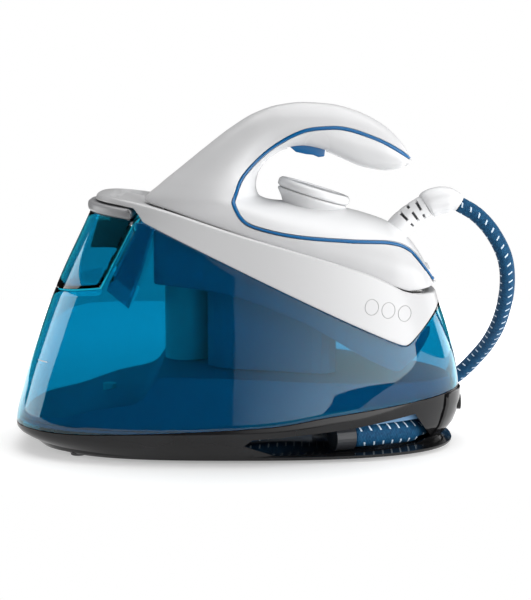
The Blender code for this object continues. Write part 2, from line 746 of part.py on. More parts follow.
def boiler(metal, dark):
    centre = (BOILER_X, 0, 0)
    up = (0, 0, 1)
    r = BOILER_RADIUS
    inside = r - 0.0018
    turned("boiler_lower_shell", ((0.0002, 0.0345), (r - 0.008, 0.0345), (r, 0.0420),
                                  (r, 0.0668), (r + 0.003, 0.0668), (r + 0.003, 0.0690),
                                  (inside, 0.0690), (inside, 0.0428), (inside - 0.0068, 0.0365),
                                  (0.0002, 0.0365)), centre, up, metal)
    turned("boiler_upper_shell", ((0.0002, 0.1040), (inside - 0.0068, 0.1036), (inside, 0.0974),
                                  (inside, 0.0693), (r + 0.003, 0.0693), (r + 0.003, 0.0715),
                                  (r, 0.0715), (r, 0.0980), (r - 0.008, 0.1055),
                                  (0.0002, 0.1060)), centre, up, metal)
    turned("heating_element", ((0.020, 0.0302), (0.032, 0.0302), (0.032, 0.0342),
                               (0.020, 0.0342)), centre, up, dark, wrap=True)
    cylinder("boiler_thermostat", (BOILER_X + 0.016, 0.014, 0.1064),
             (BOILER_X + 0.016, 0.014, 0.1130), 0.009, dark, segments=20)
    cylinder("safety_valve", (BOILER_X - 0.018, -0.012, 0.1064),
             (BOILER_X - 0.018, -0.012, 0.1230), 0.006, metal, end_radius=0.0045, segments=16)


def water_works(light, rubber, metal, dark):
    turned("pump_column", ((0.0195, 0.0764), (0.0195, 0.1440), (0.0175, 0.1440),
                           (0.0175, 0.0764)), (PUMP_X, 0, 0), (0, 0, 1), light, wrap=True)
    turned("pump_mount", ((0.0169, 0.0767), (0.0169, 0.0810), (0.0144, 0.0810),
                          (0.0144, 0.0767)), (PUMP_X, 0, 0), (0, 0, 1), rubber, wrap=True)
    cylinder("water_pump", (PUMP_X, 0, 0.0480), (PUMP_X, 0, 0.1250), 0.0140, dark)
    cylinder("tank_outlet", (OUTLET_X, 0, 0.0340), (OUTLET_X, 0, 0.0520), 0.0060, light,
             segments=20)
    tube("suction_tube", spline_through(((OUTLET_X + 0.0066, 0, 0.0385), (-0.095, 0, 0.0390),
                                         (-0.075, 0, 0.0500), (PUMP_X - 0.0150, 0, 0.0532)), 9),
         0.003, rubber)
    tube("feed_tube", spline_through(((PUMP_X + 0.0105, 0.0100, 0.0545), (-0.030, 0.020, 0.0535),
                                      (-0.0240, 0.0300, 0.0510), (-0.0125, 0.0320, 0.0500)), 8),
         0.0025, rubber)
    box("steam_valve", (0.0440, -0.0780, 0.0302), (0.0620, -0.0560, 0.0500), dark, 0.0012)
    tube("steam_pipe", spline_through(((0.0625, -0.0670, 0.0420), (0.0740, -0.0672, 0.0415),
                                       (0.0840, -0.0690, 0.0390), (0.0885, -0.0702, 0.0325)), 9),
         0.0025, metal)


def electrics(board, dark, lens, glossy):
    box("control_board", (0.0950, -0.0280, 0.0560), (0.1500, 0.0280, 0.0576), board)
    box("power_switch", (0.1740, -0.0080, 0.0285), (0.1850, 0.0080, 0.0425), dark, 0.0008)
    button = cylinder("power_button", (0.1880, 0, BUTTON_Z), (0.2000, 0, BUTTON_Z),
                      BUTTON_RADIUS, glossy)
    set_origin(button, (0.1940, 0, BUTTON_Z))
    cylinder("indicator_lens", (0.1900, 0.016, BUTTON_Z), (0.1990, 0.016, BUTTON_Z), 0.0019, lens,
             segments=16)
    cylinder("mains_inlet", (-0.0300, 0.0800, 0.0145), (-0.0300, 0.1015, 0.0145), 0.0080, dark,
             segments=24)


def screw_places():
    return ((-0.115, 0.0), (-0.040, 0.030), (0.035, 0.035), (0.130, 0.0))


def fasteners_and_feet(metal, rubber):
    for i, (x, y) in enumerate(screw_places()):
        turned(f"housing_screw_{i + 1}", ((0.0002, 0.0006), (0.0032, 0.0010), (0.0032, 0.0027),
                                          (0.0015, 0.0027), (0.0015, 0.0130), (0.0002, 0.0130)),
               (x, y, 0), (0, 0, 1), metal, 14)
    for end, x, y in (("front", -0.140, 0.058), ("rear", 0.100, 0.056)):
        for side, sign in (("near", -1), ("far", 1)):
            cylinder(f"foot_{end}_{side}", (x, sign * y, 0.0), (x, sign * y, 0.0027), 0.0065,
                     rubber, end_radius=0.0075, segments=20)


def hose(fabric, dark):
    sleeve = spline_through(SLEEVE_ROUTE, 12)
    back = (sleeve[0] - sleeve[1]).normalized()
    cylinder("hose_gland", sleeve[0] + back * 0.018, sleeve[0] + back * 0.0004, 0.0122, dark)
    tube("hose_end_sleeve", sleeve, SLEEVE_RADIUS, fabric, sides=3)
    route = spline_through(HOSE_ROUTE, HOSE_POINTS)
    tube("steam_hose", route, HOSE_RADIUS, fabric, sides=2)


# ---------------------------------------------------------------- iron

def iron_point(along, across, height):
    """Point in the iron's own frame: along its sole to the heel, across, and off the sole."""
    cosine, sine = math.cos(SOLE_TILT), math.sin(SOLE_TILT)
    return Vector((along * cosine + height * sine, across,
                   SOLE_HEIGHT - along * sine + height * cosine))


def sole_half_width(s):
    """Half width of the iron's skirt along the sole, from the ends of its stations."""
    cosine, sine = math.cos(SOLE_TILT), math.sin(SOLE_TILT)
    knots = [(x * cosine - (z - SOLE_HEIGHT) * sine, end)
             for _, _, x, z, _, _, end, _ in STATIONS[NOSE_STATION:]]
    return interpolate(knots, s)


def sole_outline(inset, first=SOLE_NOSE, last=SOLE_HEEL):
    """Outline of the skirt, made smaller by inset and cut to a stretch of its length."""
    count = 20
    near, far = [], []
    for i in range(count + 1):
        s = first + (last - first) * (1 - math.cos(math.pi * i / count)) / 2
        half = max(sole_half_width(s) - inset, 0.0015)
        near.append((s, -half))
        far.append((s, half))
    return near + far[::-1]


def sole_layer(name, low, high, inset, look, first=SOLE_NOSE, last=SOLE_HEEL):
    rings = []
    for height in (low, high):
        rings.append([iron_point(s, y, height) for s, y in sole_outline(inset, first, last)])
    return lofted(name, rings, look)


def station_ring(station, inset, opened):
    """Closed ring of points round one station of the iron's C-shaped shell."""
    inner = Vector((station[0], 0, station[1]))
    outer = Vector((station[2], 0, station[3]))
    half, widest, end, full = station[4:]
    step = (outer - inner).normalized()
    start = inner + step * inset
    finish_at = outer + step * 0.004 if opened else outer - step * inset
    side = []
    for i in range(RING_STEPS + 1):
        v = (1 - math.cos(math.pi * i / RING_STEPS)) / 2
        if v <= widest:
            width = half * math.sqrt(max(0.0, 1 - (1 - v / widest) ** 2))
        else:
            t = (v - widest) / (1 - widest)
            width = end + (half - end) * max(0.0, 1 - t ** full) ** (1 / full)
        width = max(width - inset, 0.0008)
        p = start.lerp(finish_at, v)
        side.append((p, width))
    near = [Vector((p.x, -w, p.z)) for p, w in side]
    far = [Vector((p.x, w, p.z)) for p, w in side]
    return near + far[::-1]


def shell_solid(name, grow=0.0):
    return lofted(name, [station_ring(s, -grow, False) for s in STATIONS], None)


def shell_hollow(name):
    rings = []
    for i, station in enumerate(STATIONS[1:-1], start=1):
        rings.append(station_ring(station, SHELL_WALL, i >= FIRST_OPEN_STATION))
    return lofted(name, rings, None)


def offset_path(path, distance):
    """The path moved sideways, positive away from the inside of the C."""
    moved = []
    for i, p in enumerate(path):
        before, after = path[max(i - 1, 0)], path[min(i + 1, len(path) - 1)]
        run = Vector((after[0] - before[0], after[1] - before[1])).normalized()
        moved.append((p[0] + run.y * distance, p[1] - run.x * distance))
    return moved


def trim_region(name, distance):
    """Everything between the two arms of the trim line, as a cutter."""
    path = offset_path(TRIM_PATH, distance)
    return prism(name, path + [(0.230, path[-1][1]), (0.230, path[0][1])], -0.080, 0.080)


def shells(light, white, blue):
    half = TRIM_WIDTH / 2
    boot_hole = cylinder("cut_boot", (0.1290, 0, 0.1773), (0.1520, 0, 0.2049), 0.0116)
    outer = shell_solid("outer_shell")
    outer.data.materials.append(light)
    boolean(outer, shell_hollow("cut_outer_hollow"))
    boolean(outer, trim_region("cut_outer_trim", half + GAP))
    boolean(outer, boot_hole)
    inner = shell_solid("inner_shell")
    inner.data.materials.append(white)
    boolean(inner, shell_hollow("cut_inner_hollow"))
    boolean(inner, trim_region("keep_inner_trim", -half - GAP), "INTERSECT")
    boolean(inner, boot_hole)
    boolean(inner, box("cut_trigger", (0.0425, -0.0085, 0.2450), (0.0775, 0.0085, 0.2740)))
    boolean(inner, cylinder("cut_spindle", dial_point(-0.030), dial_point(0.0), 0.0056))
    path_out = offset_path(TRIM_PATH, half)
    path_in = offset_path(TRIM_PATH, -half)
    for side, low, high in (("near", -0.080, -0.0004), ("far", 0.0004, 0.080)):
        strip = shell_solid(f"trim_{side}")
        strip.data.materials.append(blue)
        boolean(strip, shell_hollow(f"cut_trim_hollow_{side}"))
        boolean(strip, prism(f"keep_trim_{side}", path_out + path_in[::-1], low, high),
                "INTERSECT")


def dial_axis():
    return Vector((math.sin(DIAL_TILT), 0, math.cos(DIAL_TILT)))


def dial_point(height):
    """Point on the dial's axis, height above the dial's underside."""
    return Vector((DIAL_CENTRE[0], 0, DIAL_CENTRE[1])) + dial_axis() * (height - DIAL_THICKNESS / 2)


def dial_set(white, dark):
    r, t = DIAL_RADIUS, DIAL_THICKNESS
    dial = turned("dial", ((0.0043, 0.0), (r - 0.0015, 0.0), (r, 0.0015), (r, t - 0.002),
                           (r - 0.002, t), (0.0002, t), (0.0002, 0.0055), (0.0043, 0.0055)),
                  dial_point(0.0), dial_axis(), white, 40, wrap=True)
    set_origin(dial, dial_point(0.0))
    spindle = cylinder("dial_spindle", dial_point(-0.0204), dial_point(0.0050), SPINDLE_RADIUS,
                       dark, segments=20)
    set_origin(spindle, dial_point(0.0))
    bezel = turned("dial_bezel", ((0.0002, -0.0240), (0.0200, -0.0240), (0.0222, -0.0150),
                                  (0.0268, -0.0080), (0.0312, -0.0030), (0.0320, -0.0004),
                                  (0.0002, -0.0004)), dial_point(0.0), dial_axis(), white, 40)
    boolean(bezel, shell_solid("cut_bezel_shell", 0.0007))
    boolean(bezel, cylinder("cut_bezel_hole", dial_point(-0.040), dial_point(0.010), 0.0056))


def trigger(blue, metal, dark):
    outline = ((0.0445, 0.2655), (0.0500, 0.2608), (0.0590, 0.2588), (0.0650, 0.2582),
               (0.0700, 0.2562), (0.0752, 0.2568), (0.0760, 0.2650), (0.0745, 0.2690),
               (0.0445, 0.2705))
    made = prism("trigger", outline, -TRIGGER_HALF_WIDTH, TRIGGER_HALF_WIDTH, blue)
    x, z = TRIGGER_PIVOT
    pin_cut = cylinder("cut_trigger_pin", (x, -0.010, z), (x, 0.010, z), 0.0015, segments=16)
    boolean(made, pin_cut)
    set_origin(made, (x, 0, z))
    cylinder("trigger_pin", (x, -0.0082, z), (x, 0.0082, z), 0.0012, metal, segments=16)
    box("microswitch", (0.0560, -0.0045, 0.2760), (0.0730, 0.0045, 0.2860), dark, 0.0006)


def iron_works(metal, cast, dark, shield):
    sole_layer("soleplate", 0.0, SOLE_THICKNESS, SOLE_INSET, metal)
    sole_layer("heater_body", SOLE_THICKNESS + GAP, 0.0175, 0.0100, cast, -0.058, 0.142)
    sole_layer("steam_chamber_cover", 0.0178, 0.0198, 0.0140, cast, -0.050, 0.136)
    made = sole_layer("heat_shield", 0.0225, 0.0245, 0.0150, shield, -0.030, 0.130)
    foot = thermostat_foot()
    boolean(made, cylinder("cut_shield", foot - dial_axis() * 0.02, foot + dial_axis() * 0.02,
                           0.0170))
    cylinder("thermostat", foot, foot + dial_axis() * 0.0095, 0.0135, dark)
    cylinder("heel_screw", (0.1560, 0, 0.1620), (0.1500, 0, 0.1590), 0.0030, metal, segments=16)


def thermostat_foot():
    return dial_point(-0.0302)


def boot(white):
    for name, route in (("hose_boot", BOOT_ROUTE), ("boot_ferrule", FERRULE_ROUTE)):
        points = [(x, 0, z) for x, z, _ in route]
        radii = [r for _, _, r in route]
        tube(name, points, 0.010, white, sides=4, radii=radii)


# ---------------------------------------------------------------- assembly

def build():
    clear_scene()
    black = material("glossy_black", (0.012, 0.012, 0.013), 0.12)
    dark = material("dark_plastic", (0.030, 0.032, 0.036), 0.50)
    clear_blue = material("clear_blue", (0.020, 0.330, 0.620), 0.05, alpha=0.55)
    light = material("light_grey", (0.660, 0.665, 0.680), 0.35)
    white = material("white_plastic", (0.880, 0.885, 0.890), 0.30)
    blue = material("trim_blue", (0.030, 0.300, 0.620), 0.25)
    braid = material("blue_braid", (0.050, 0.190, 0.380), 0.75)
    steel = material("brushed_steel", (0.620, 0.620, 0.610), 0.30, 1.0)
    cast = material("cast_aluminium", (0.540, 0.540, 0.550), 0.55, 1.0)
    rubber = material("grey_rubber", (0.120, 0.120, 0.125), 0.80)
    shield = material("heat_shield", (0.100, 0.100, 0.110), 0.60)
    board = material("circuit_board", (0.020, 0.180, 0.080), 0.50)
    lamp = material("lamp_lens", (0.900, 0.350, 0.080), 0.15)
    base_tray(black)
    end_panel(black)
    water_tank(clear_blue)
    deck(light)
    deck_pan(dark)
    inner_housing(dark)
    boiler_tower(dark)
    fill_drawer(clear_blue)
    drawer_grip(light)
    drawer_block(dark)
    fill_chute(clear_blue)
    chassis_plate(dark)
    rest_mat(rubber)
    boiler(steel, dark)
    water_works(light, rubber, steel, dark)
    electrics(board, dark, lamp, black)
    fasteners_and_feet(steel, rubber)
    hose(braid, dark)
    shells(light, white, blue)
    dial_set(white, dark)
    trigger(blue, steel, dark)
    iron_works(steel, cast, dark, shield)
    boot(white)


build()
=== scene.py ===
"""Looks of the steam ironing station: an iron resting on a translucent water tank.

Every shape repeats the CAD model's outlines at a finer resolution, in metres, in its frame:
X runs from the tall front end (-X) to the low rear end (+X), Y is the width and Z is up.
"""

import json
import math

import bmesh
import bpy
import numpy as np
from mathutils import Matrix, Vector

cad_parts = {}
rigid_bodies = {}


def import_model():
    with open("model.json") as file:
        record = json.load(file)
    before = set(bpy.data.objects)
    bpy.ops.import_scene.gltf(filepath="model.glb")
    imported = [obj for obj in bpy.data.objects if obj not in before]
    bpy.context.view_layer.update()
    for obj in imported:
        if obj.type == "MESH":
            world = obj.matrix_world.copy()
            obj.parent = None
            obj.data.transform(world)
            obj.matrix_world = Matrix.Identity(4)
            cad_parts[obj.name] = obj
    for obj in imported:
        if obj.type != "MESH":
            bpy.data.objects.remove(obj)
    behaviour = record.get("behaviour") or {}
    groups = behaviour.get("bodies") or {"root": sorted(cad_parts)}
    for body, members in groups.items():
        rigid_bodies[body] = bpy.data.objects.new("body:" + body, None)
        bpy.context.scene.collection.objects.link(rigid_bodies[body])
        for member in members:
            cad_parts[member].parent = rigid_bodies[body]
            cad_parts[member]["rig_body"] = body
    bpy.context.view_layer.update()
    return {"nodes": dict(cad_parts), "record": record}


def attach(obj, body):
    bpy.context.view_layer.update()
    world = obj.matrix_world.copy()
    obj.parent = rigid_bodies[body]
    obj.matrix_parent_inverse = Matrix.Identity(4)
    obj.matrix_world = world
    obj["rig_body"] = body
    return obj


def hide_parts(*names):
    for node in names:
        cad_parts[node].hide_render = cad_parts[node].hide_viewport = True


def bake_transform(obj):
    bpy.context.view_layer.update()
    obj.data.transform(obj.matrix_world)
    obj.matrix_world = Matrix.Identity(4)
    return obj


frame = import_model()

# ---------------------------------------------------------------- outlines of the CAD model

FRONT_POWER = 2.9
REAR_POWER = ((0.003, 2.5), (0.0060, 2.5), (0.0066, 1.85), (0.030, 1.85), (0.080, 2.1),
              (0.140, 2.5), (0.235, 2.6))
FRONT_PROFILE = ((0.003, -0.168), (0.022, -0.200), (0.059, -0.192), (0.096, -0.180),
                 (0.147, -0.161), (0.209, -0.132), (0.235, -0.121))
REAR_PROFILE = ((0.003, 0.1900), (0.0045, 0.1915), (0.0060, 0.1915), (0.0066, 0.1830),
                (0.0100, 0.1842), (0.022, 0.1925), (0.044, 0.1978), (0.055, 0.1972),
                (0.081, 0.193), (0.111, 0.184), (0.128, 0.178), (0.140, 0.1745),
                (0.150, 0.171), (0.235, 0.135))
WIDTH_PROFILE = ((0.003, 0.094), (0.022, 0.1065), (0.030, 0.108), (0.080, 0.106),
                 (0.147, 0.098), (0.209, 0.0865), (0.235, 0.081))
SEAM = ((-0.200, 0.025), (-0.160, 0.025), (-0.086, 0.028), (-0.044, 0.030), (0.0, 0.0325),
        (0.035, 0.035), (0.077, 0.041), (0.153, 0.048), (0.200, 0.0525))
RIM = ((-0.135, 0.2268), (-0.115, 0.2250), (-0.095, 0.2222), (-0.075, 0.2182), (0.0, 0.195),
       (0.110, 0.1609), (0.130, 0.1515), (0.145, 0.1437), (0.160, 0.1405), (0.180, 0.1395))
HUMP = ((-0.200, 0.034), (-0.166, 0.036), (-0.117, 0.048), (-0.090, 0.053), (-0.082, 0.057),
        (-0.074, 0.068), (-0.069, 0.0745), (-0.060, 0.0758), (0.163, 0.064), (0.200, 0.062))
PAN_BOTTOM = ((-0.075, 0.152), (-0.020, 0.146), (0.050, 0.122), (0.120, 0.082), (0.137, 0.0745),
              (0.150, 0.082), (0.180, 0.112))
WALL = 0.0025
GAP = 0.0003
TRAY_BOTTOM = 0.003
LIP_HEIGHTS = (0.0045, 0.0060, 0.0066)
TRAY_FLOOR = 0.0055
CREASE = (0.0215, 0.0235)
PANEL_BOTTOM = 0.0100
CHASSIS_TOP = 0.0298
LIP_THICKNESS = 0.005
PANEL_PROUD = 0.0018
HOUSING_INSET = 0.0070
HOUSING_WALL = 0.0022
RIM_WIDTH = 0.006
RIM_FRONT = -0.111
FLOOR_INSET = 0.0075
FLOOR_FRONT = -0.108
FLOOR_THICKNESS = 0.0024
PAN_FRONT = -0.0715
PAN_INSET = 0.008
PAN_WALL = 0.002
BAND_FRONT = (0.166, -0.484)
BAND_REAR = (-0.056, 1.05)
BAND_ROUND = 0.003
BAND_START = (-0.0885, -0.0800)
DRAWER_EDGE_LOW = (-0.1155, 0.149)
DRAWER_EDGE_HIGH = (-0.0865, 0.2055)
DRAWER_SLOPE = math.radians(7.0)
DRAWER_FLOOR_SLOPE = 0.135
DRAWER_GAP = 0.0009
GRIP_BACK = -0.0900
GRIP_FRONT = (-0.135, 0.2205)
GRIP_THICKNESS = 0.0088
GRIP_PROUD = 0.0035
SOLE_TILT = math.radians(18.0)
SOLE_HEIGHT = 0.190
SOLE_THICKNESS = 0.004
SHELL_WALL = 0.0020
BUTTON_RADIUS = 0.007
BUTTON_Z = 0.0350
LAMP_Y = 0.016
LAMP_HOLE = 0.0023
INLET = (-0.030, 0.0145)
INLET_HOLE = 0.0083
PUMP_X = -0.0475
PUMP_HOLE = 0.0150
BOILER_X = 0.020
BOILER_HOLE = 0.047
FEED_X = -0.118
FEED_HOLE = 0.0064

# Stations of the iron's shell from the handle's free tip to the heel: inner x, inner z, outer x,
# outer z, half width, where it is widest, outer half width, fullness
STATIONS = (
    (0.1470, 0.2487, 0.1520, 0.2540, 0.0050, 0.50, 0.0012, 2.0),
    (0.1400, 0.2452, 0.1475, 0.2635, 0.0115, 0.50, 0.0012, 2.0),
    (0.1295, 0.2440, 0.1320, 0.2810, 0.0160, 0.50, 0.0012, 2.0),
    (0.1110, 0.2470, 0.1060, 0.2960, 0.0185, 0.50, 0.0012, 2.0),
    (0.0930, 0.2540, 0.0800, 0.3030, 0.0200, 0.50, 0.0012, 2.0),
    (0.0760, 0.2610, 0.0560, 0.3045, 0.0205, 0.50, 0.0012, 2.0),
    (0.0570, 0.2650, 0.0340, 0.3020, 0.0210, 0.50, 0.0012, 2.0),
    (0.0410, 0.2630, 0.0130, 0.2948, 0.0215, 0.50, 0.0012, 1.9),
    (0.0300, 0.2575, -0.0080, 0.2820, 0.0225, 0.48, 0.0012, 1.8),
    (0.0210, 0.2490, -0.0290, 0.2660, 0.0250, 0.46, 0.0012, 1.7),
    (0.0160, 0.2400, -0.0520, 0.2475, 0.0285, 0.42, 0.0012, 1.6),
    (0.0147, 0.2310, -0.0705, 0.2325, 0.0330, 0.38, 0.0012, 1.5),
    (0.0170, 0.2230, -0.0845, 0.2187, 0.0370, 0.35, 0.0020, 1.4),
    (0.0290, 0.2182, -0.0530, 0.2085, 0.0400, 0.40, 0.0270, 1.5),
    (0.0480, 0.2168, -0.0130, 0.1955, 0.0460, 0.55, 0.0400, 1.8),
    (0.0700, 0.2145, 0.0320, 0.1809, 0.0520, 0.70, 0.0495, 2.0),
    (0.0940, 0.2110, 0.0740, 0.1672, 0.0550, 0.80, 0.0540, 2.0),
    (0.1150, 0.2055, 0.1060, 0.1568, 0.0560, 0.80, 0.0555, 2.0),
    (0.1330, 0.1985, 0.1320, 0.1484, 0.0550, 0.80, 0.0545, 2.0),
    (0.1470, 0.1885, 0.1490, 0.1429, 0.0510, 0.75, 0.0500, 2.0),
    (0.1580, 0.1755, 0.1630, 0.1445, 0.0440, 0.70, 0.0425, 2.0),
    (0.1660, 0.1620, 0.1715, 0.1470, 0.0330, 0.60, 0.0310, 2.0),
)
FIRST_OPEN_STATION = 12
TRIM_PATH = ((0.1640, 0.2460), (0.1525, 0.2545), (0.1280, 0.2690), (0.0970, 0.2805),
             (0.0750, 0.2820), (0.0530, 0.2780), (0.0270, 0.2630), (0.0050, 0.2415),
             (-0.0030, 0.2240), (-0.0040, 0.2160), (0.0050, 0.2020), (0.0230, 0.1950),
             (0.0530, 0.1895), (0.0970, 0.1860), (0.1310, 0.1840), (0.1490, 0.1770),
             (0.1640, 0.1600), (0.1730, 0.1470), (0.1830, 0.1330))
TRIM_HALF = 0.0016
DIAL_CENTRE = (0.0664, 0.2262)
DIAL_RADIUS = 0.033
DIAL_THICKNESS = 0.008
DIAL_TILT = math.radians(17.0)
TRIGGER_HALF_WIDTH = 0.0075

# The hose and the pieces on its ends
HOSE_RADIUS = 0.0069
SLEEVE_RADIUS = 0.0105
SLEEVE_ROUTE = ((0.0980, -0.0665, 0.0190), (0.1130, -0.0610, 0.0190), (0.1290, -0.0530, 0.0186),
                (0.1430, -0.0435, 0.0178), (0.1530, -0.0340, 0.0170))
HOSE_ROUTE = (
    (0.1542, -0.0328, 0.0168), (0.1620, -0.0230, 0.0158), (0.1676, -0.0065, 0.0145),
    (0.1676, 0.0115, 0.0137), (0.1600, 0.0270, 0.0135), (0.1470, 0.0390, 0.0135),
    (0.1310, 0.0505, 0.0135), (0.1000, 0.0590, 0.0135), (0.0500, 0.0650, 0.0135),
    (0.0000, 0.0683, 0.0135), (-0.0500, 0.0690, 0.0135), (-0.0980, 0.0680, 0.0135),
    (-0.1450, 0.0490, 0.0135), (-0.1650, 0.0020, 0.0135), (-0.1450, -0.0445, 0.0135),
    (-0.1000, -0.0640, 0.0135), (-0.0550, -0.0615, 0.0135), (-0.0120, -0.0490, 0.0135),
    (0.0280, -0.0290, 0.0138), (0.0580, -0.0080, 0.0180), (0.0830, 0.0140, 0.0240),
    (0.1040, 0.0360, 0.0286), (0.1240, 0.0600, 0.0295), (0.1440, 0.0840, 0.0276),
    (0.1670, 0.1050, 0.0243), (0.1915, 0.1160, 0.0262), (0.2120, 0.1150, 0.0375),
    (0.2275, 0.1015, 0.0570), (0.2375, 0.0790, 0.0780), (0.2430, 0.0520, 0.1030),
    (0.2445, 0.0260, 0.1350), (0.2395, 0.0090, 0.1640), (0.2270, 0.0025, 0.1880),
    (0.2120, 0.0005, 0.2045), (0.1964, 0.0000, 0.2140),
)
BOOT_ROUTE = ((0.1355, 0.1850, 0.0108), (0.1440, 0.1952, 0.0112), (0.1500, 0.2018, 0.0104),
              (0.1580, 0.2080, 0.0100), (0.1660, 0.2126, 0.0103))
FERRULE_ROUTE = ((0.16640, 0.21283, 0.0108), (0.16940, 0.21455, 0.0124),
                 (0.17750, 0.21720, 0.0125), (0.18600, 0.21760, 0.0116),
                 (0.19180, 0.21660, 0.0092), (0.19600, 0.21425, 0.0069))


# ---------------------------------------------------------------- curves

def interpolate(knots, x):
    """Monotone cubic curve through knots, with straight ends."""
    last = len(knots) - 1
    if x <= knots[0][0] or x >= knots[last][0]:
        near, far = (knots[0], knots[1]) if x <= knots[0][0] else (knots[last], knots[last - 1])
        return near[1] + (x - near[0]) * (near[1] - far[1]) / (near[0] - far[0])
    i = max(k for k in range(last) if knots[k][0] <= x)
    steps = [(knots[k + 1][1] - knots[k][1]) / (knots[k + 1][0] - knots[k][0]) for k in range(last)]

    def slope(k):
        if k in (0, last):
            return steps[min(k, last - 1)]
        before, after = steps[k - 1], steps[k]
        return 0.0 if before * after <= 0 else 2 * before * after / (before + after)

    width = knots[i + 1][0] - knots[i][0]
    t = (x - knots[i][0]) / width
    a, b = knots[i][1], knots[i + 1][1]
    return ((2 * t ** 3 - 3 * t ** 2 + 1) * a + (t ** 3 - 2 * t ** 2 + t) * width * slope(i)
            + (3 * t ** 2 - 2 * t ** 3) * b + (t ** 3 - t ** 2) * width * slope(i + 1))


def table(knots, low, high, count=1400):
    """The curve through knots as a function of whole arrays."""
    at = np.linspace(low, high, count)
    values = np.array([interpolate(knots, x) for x in at])
    return lambda x: np.interp(x, at, values)


front_profile = table(FRONT_PROFILE, 0.0, 0.25)
rear_profile = table(REAR_PROFILE, 0.0, 0.25, 4000)
rear_power = table(REAR_POWER, 0.0, 0.25, 4000)
width_profile = table(WIDTH_PROFILE, 0.0, 0.25)
seam = table(SEAM, -0.21, 0.21)
rim = table(RIM, -0.21, 0.21)
hump = table(HUMP, -0.21, 0.21)
pan_bottom = table(PAN_BOTTOM, -0.21, 0.21)


def band_edge(x):
    """Lower edge of the deck: a thin lip at the front, then the band and its tongue."""
    front = BAND_FRONT[0] + BAND_FRONT[1] * x
    rear = BAND_REAR[0] + BAND_REAR[1] * x
    band = (front + rear) / 2 + np.hypot((front - rear) / 2, BAND_ROUND)
    lip = rim(x) - LIP_THICKNESS
    share = np.clip((x - BAND_START[0]) / (BAND_START[1] - BAND_START[0]), 0, 1)
    return lip + (band - lip) * share


def drawer_line(z):
    slope = (DRAWER_EDGE_HIGH[0] - DRAWER_EDGE_LOW[0]) / (DRAWER_EDGE_HIGH[1] - DRAWER_EDGE_LOW[1])
    return DRAWER_EDGE_LOW[0] + slope * (z - DRAWER_EDGE_LOW[1])


def drawer_bottom(x):
    return DRAWER_EDGE_LOW[1] + DRAWER_FLOOR_SLOPE * (x - DRAWER_EDGE_LOW[0])


def grip_top(x):
    return GRIP_FRONT[1] - math.tan(DRAWER_SLOPE) * (x - GRIP_FRONT[0])


def drawer_top(x):
    return grip_top(x) - GRIP_THICKNESS - 0.0004


def tank_top(x):
    """Upper edge of the tank: round the drawer's opening, then under the deck band."""
    x = np.asarray(x, float)
    low_x, low_z = DRAWER_EDGE_LOW
    high_x, high_z = DRAWER_EDGE_HIGH
    band = band_edge(np.maximum(x, BAND_START[1]))
    slanted = low_z + (high_z - low_z) * (x - low_x) / (high_x - low_x)
    edge = np.where(x <= low_x, drawer_bottom(x), np.where(x <= high_x, slanted, band))
    return np.minimum(edge, band) - 0.0005


def floor_plane(x):
    return SOLE_HEIGHT - 0.0019 - math.tan(SOLE_TILT) * x


def hull(angle, z, inset=0.0):
    """Points (n, 3) on the body's outside, moved inwards by inset. Angle 0 is the rear."""
    angle, z, inset = np.broadcast_arrays(angle, z, inset)
    cosine, sine = np.cos(angle), np.sin(angle)
    half = width_profile(z)
    rear = cosine >= 0
    reach = np.where(rear, rear_profile(z), -front_profile(z))
    power = np.where(rear, rear_power(z), FRONT_POWER)
    x = np.copysign(reach * np.abs(cosine) ** (2 / power), cosine)
    y = np.copysign(half * np.abs(sine) ** (2 / power), sine)
    across = np.abs(x / reach) ** (power - 1) / reach
    along = np.abs(y / half) ** (power - 1) / half
    nx, ny = np.copysign(across, x), np.copysign(along, y)
    size = np.hypot(nx, ny)
    return np.stack([x - nx / size * inset, y - ny / size * inset, z], axis=-1)


def height_at(angle, edge):
    """Height at which the body meets the side curve edge(x), for each angle."""
    z = np.full(len(angle), float(edge(np.array([0.0]))[0]))
    for _ in range(60):
        z = 0.5 * z + 0.5 * edge(hull(angle, z)[:, 0])
    return z


def corner_angle(x, z):
    """Angle round the body's near side at which it passes the point (x, z)."""
    z = np.array([z])
    if x < 0:
        share = (-x / -front_profile(z)[0]) ** (FRONT_POWER / 2)
        return math.pi - math.acos(share)
    return math.acos((x / rear_profile(z)[0]) ** (rear_power(z)[0] / 2))


def body_angles(count=264):
    """Angles round the body, closer together at the drawer's corners and the band's tongue."""
    base = list(np.linspace(0, math.pi, count // 2 + 1))
    low = corner_angle(*DRAWER_EDGE_LOW)
    high = corner_angle(*DRAWER_EDGE_HIGH)
    tip = corner_angle(0.1447, 0.0975)
    extra = list(np.linspace(high, low, 22))
    extra += [high - 0.004, low + 0.004]
    extra += list(np.linspace(tip - 0.10, tip + 0.10, 25))
    kept = [a for a in base if all(abs(a - b) > 0.006 for b in extra)]
    half = sorted(kept + extra)
    return np.array(half + [2 * math.pi - a for a in half[-2:0:-1]])


BODY = body_angles()


def quarter(degrees, radius):
    """How far past and inside a rounded edge its rings lie, one pair for each angle."""
    turns = [math.radians(a) for a in degrees]
    return [(radius * (1 - math.sin(a)), radius * (1 - math.cos(a))) for a in turns]


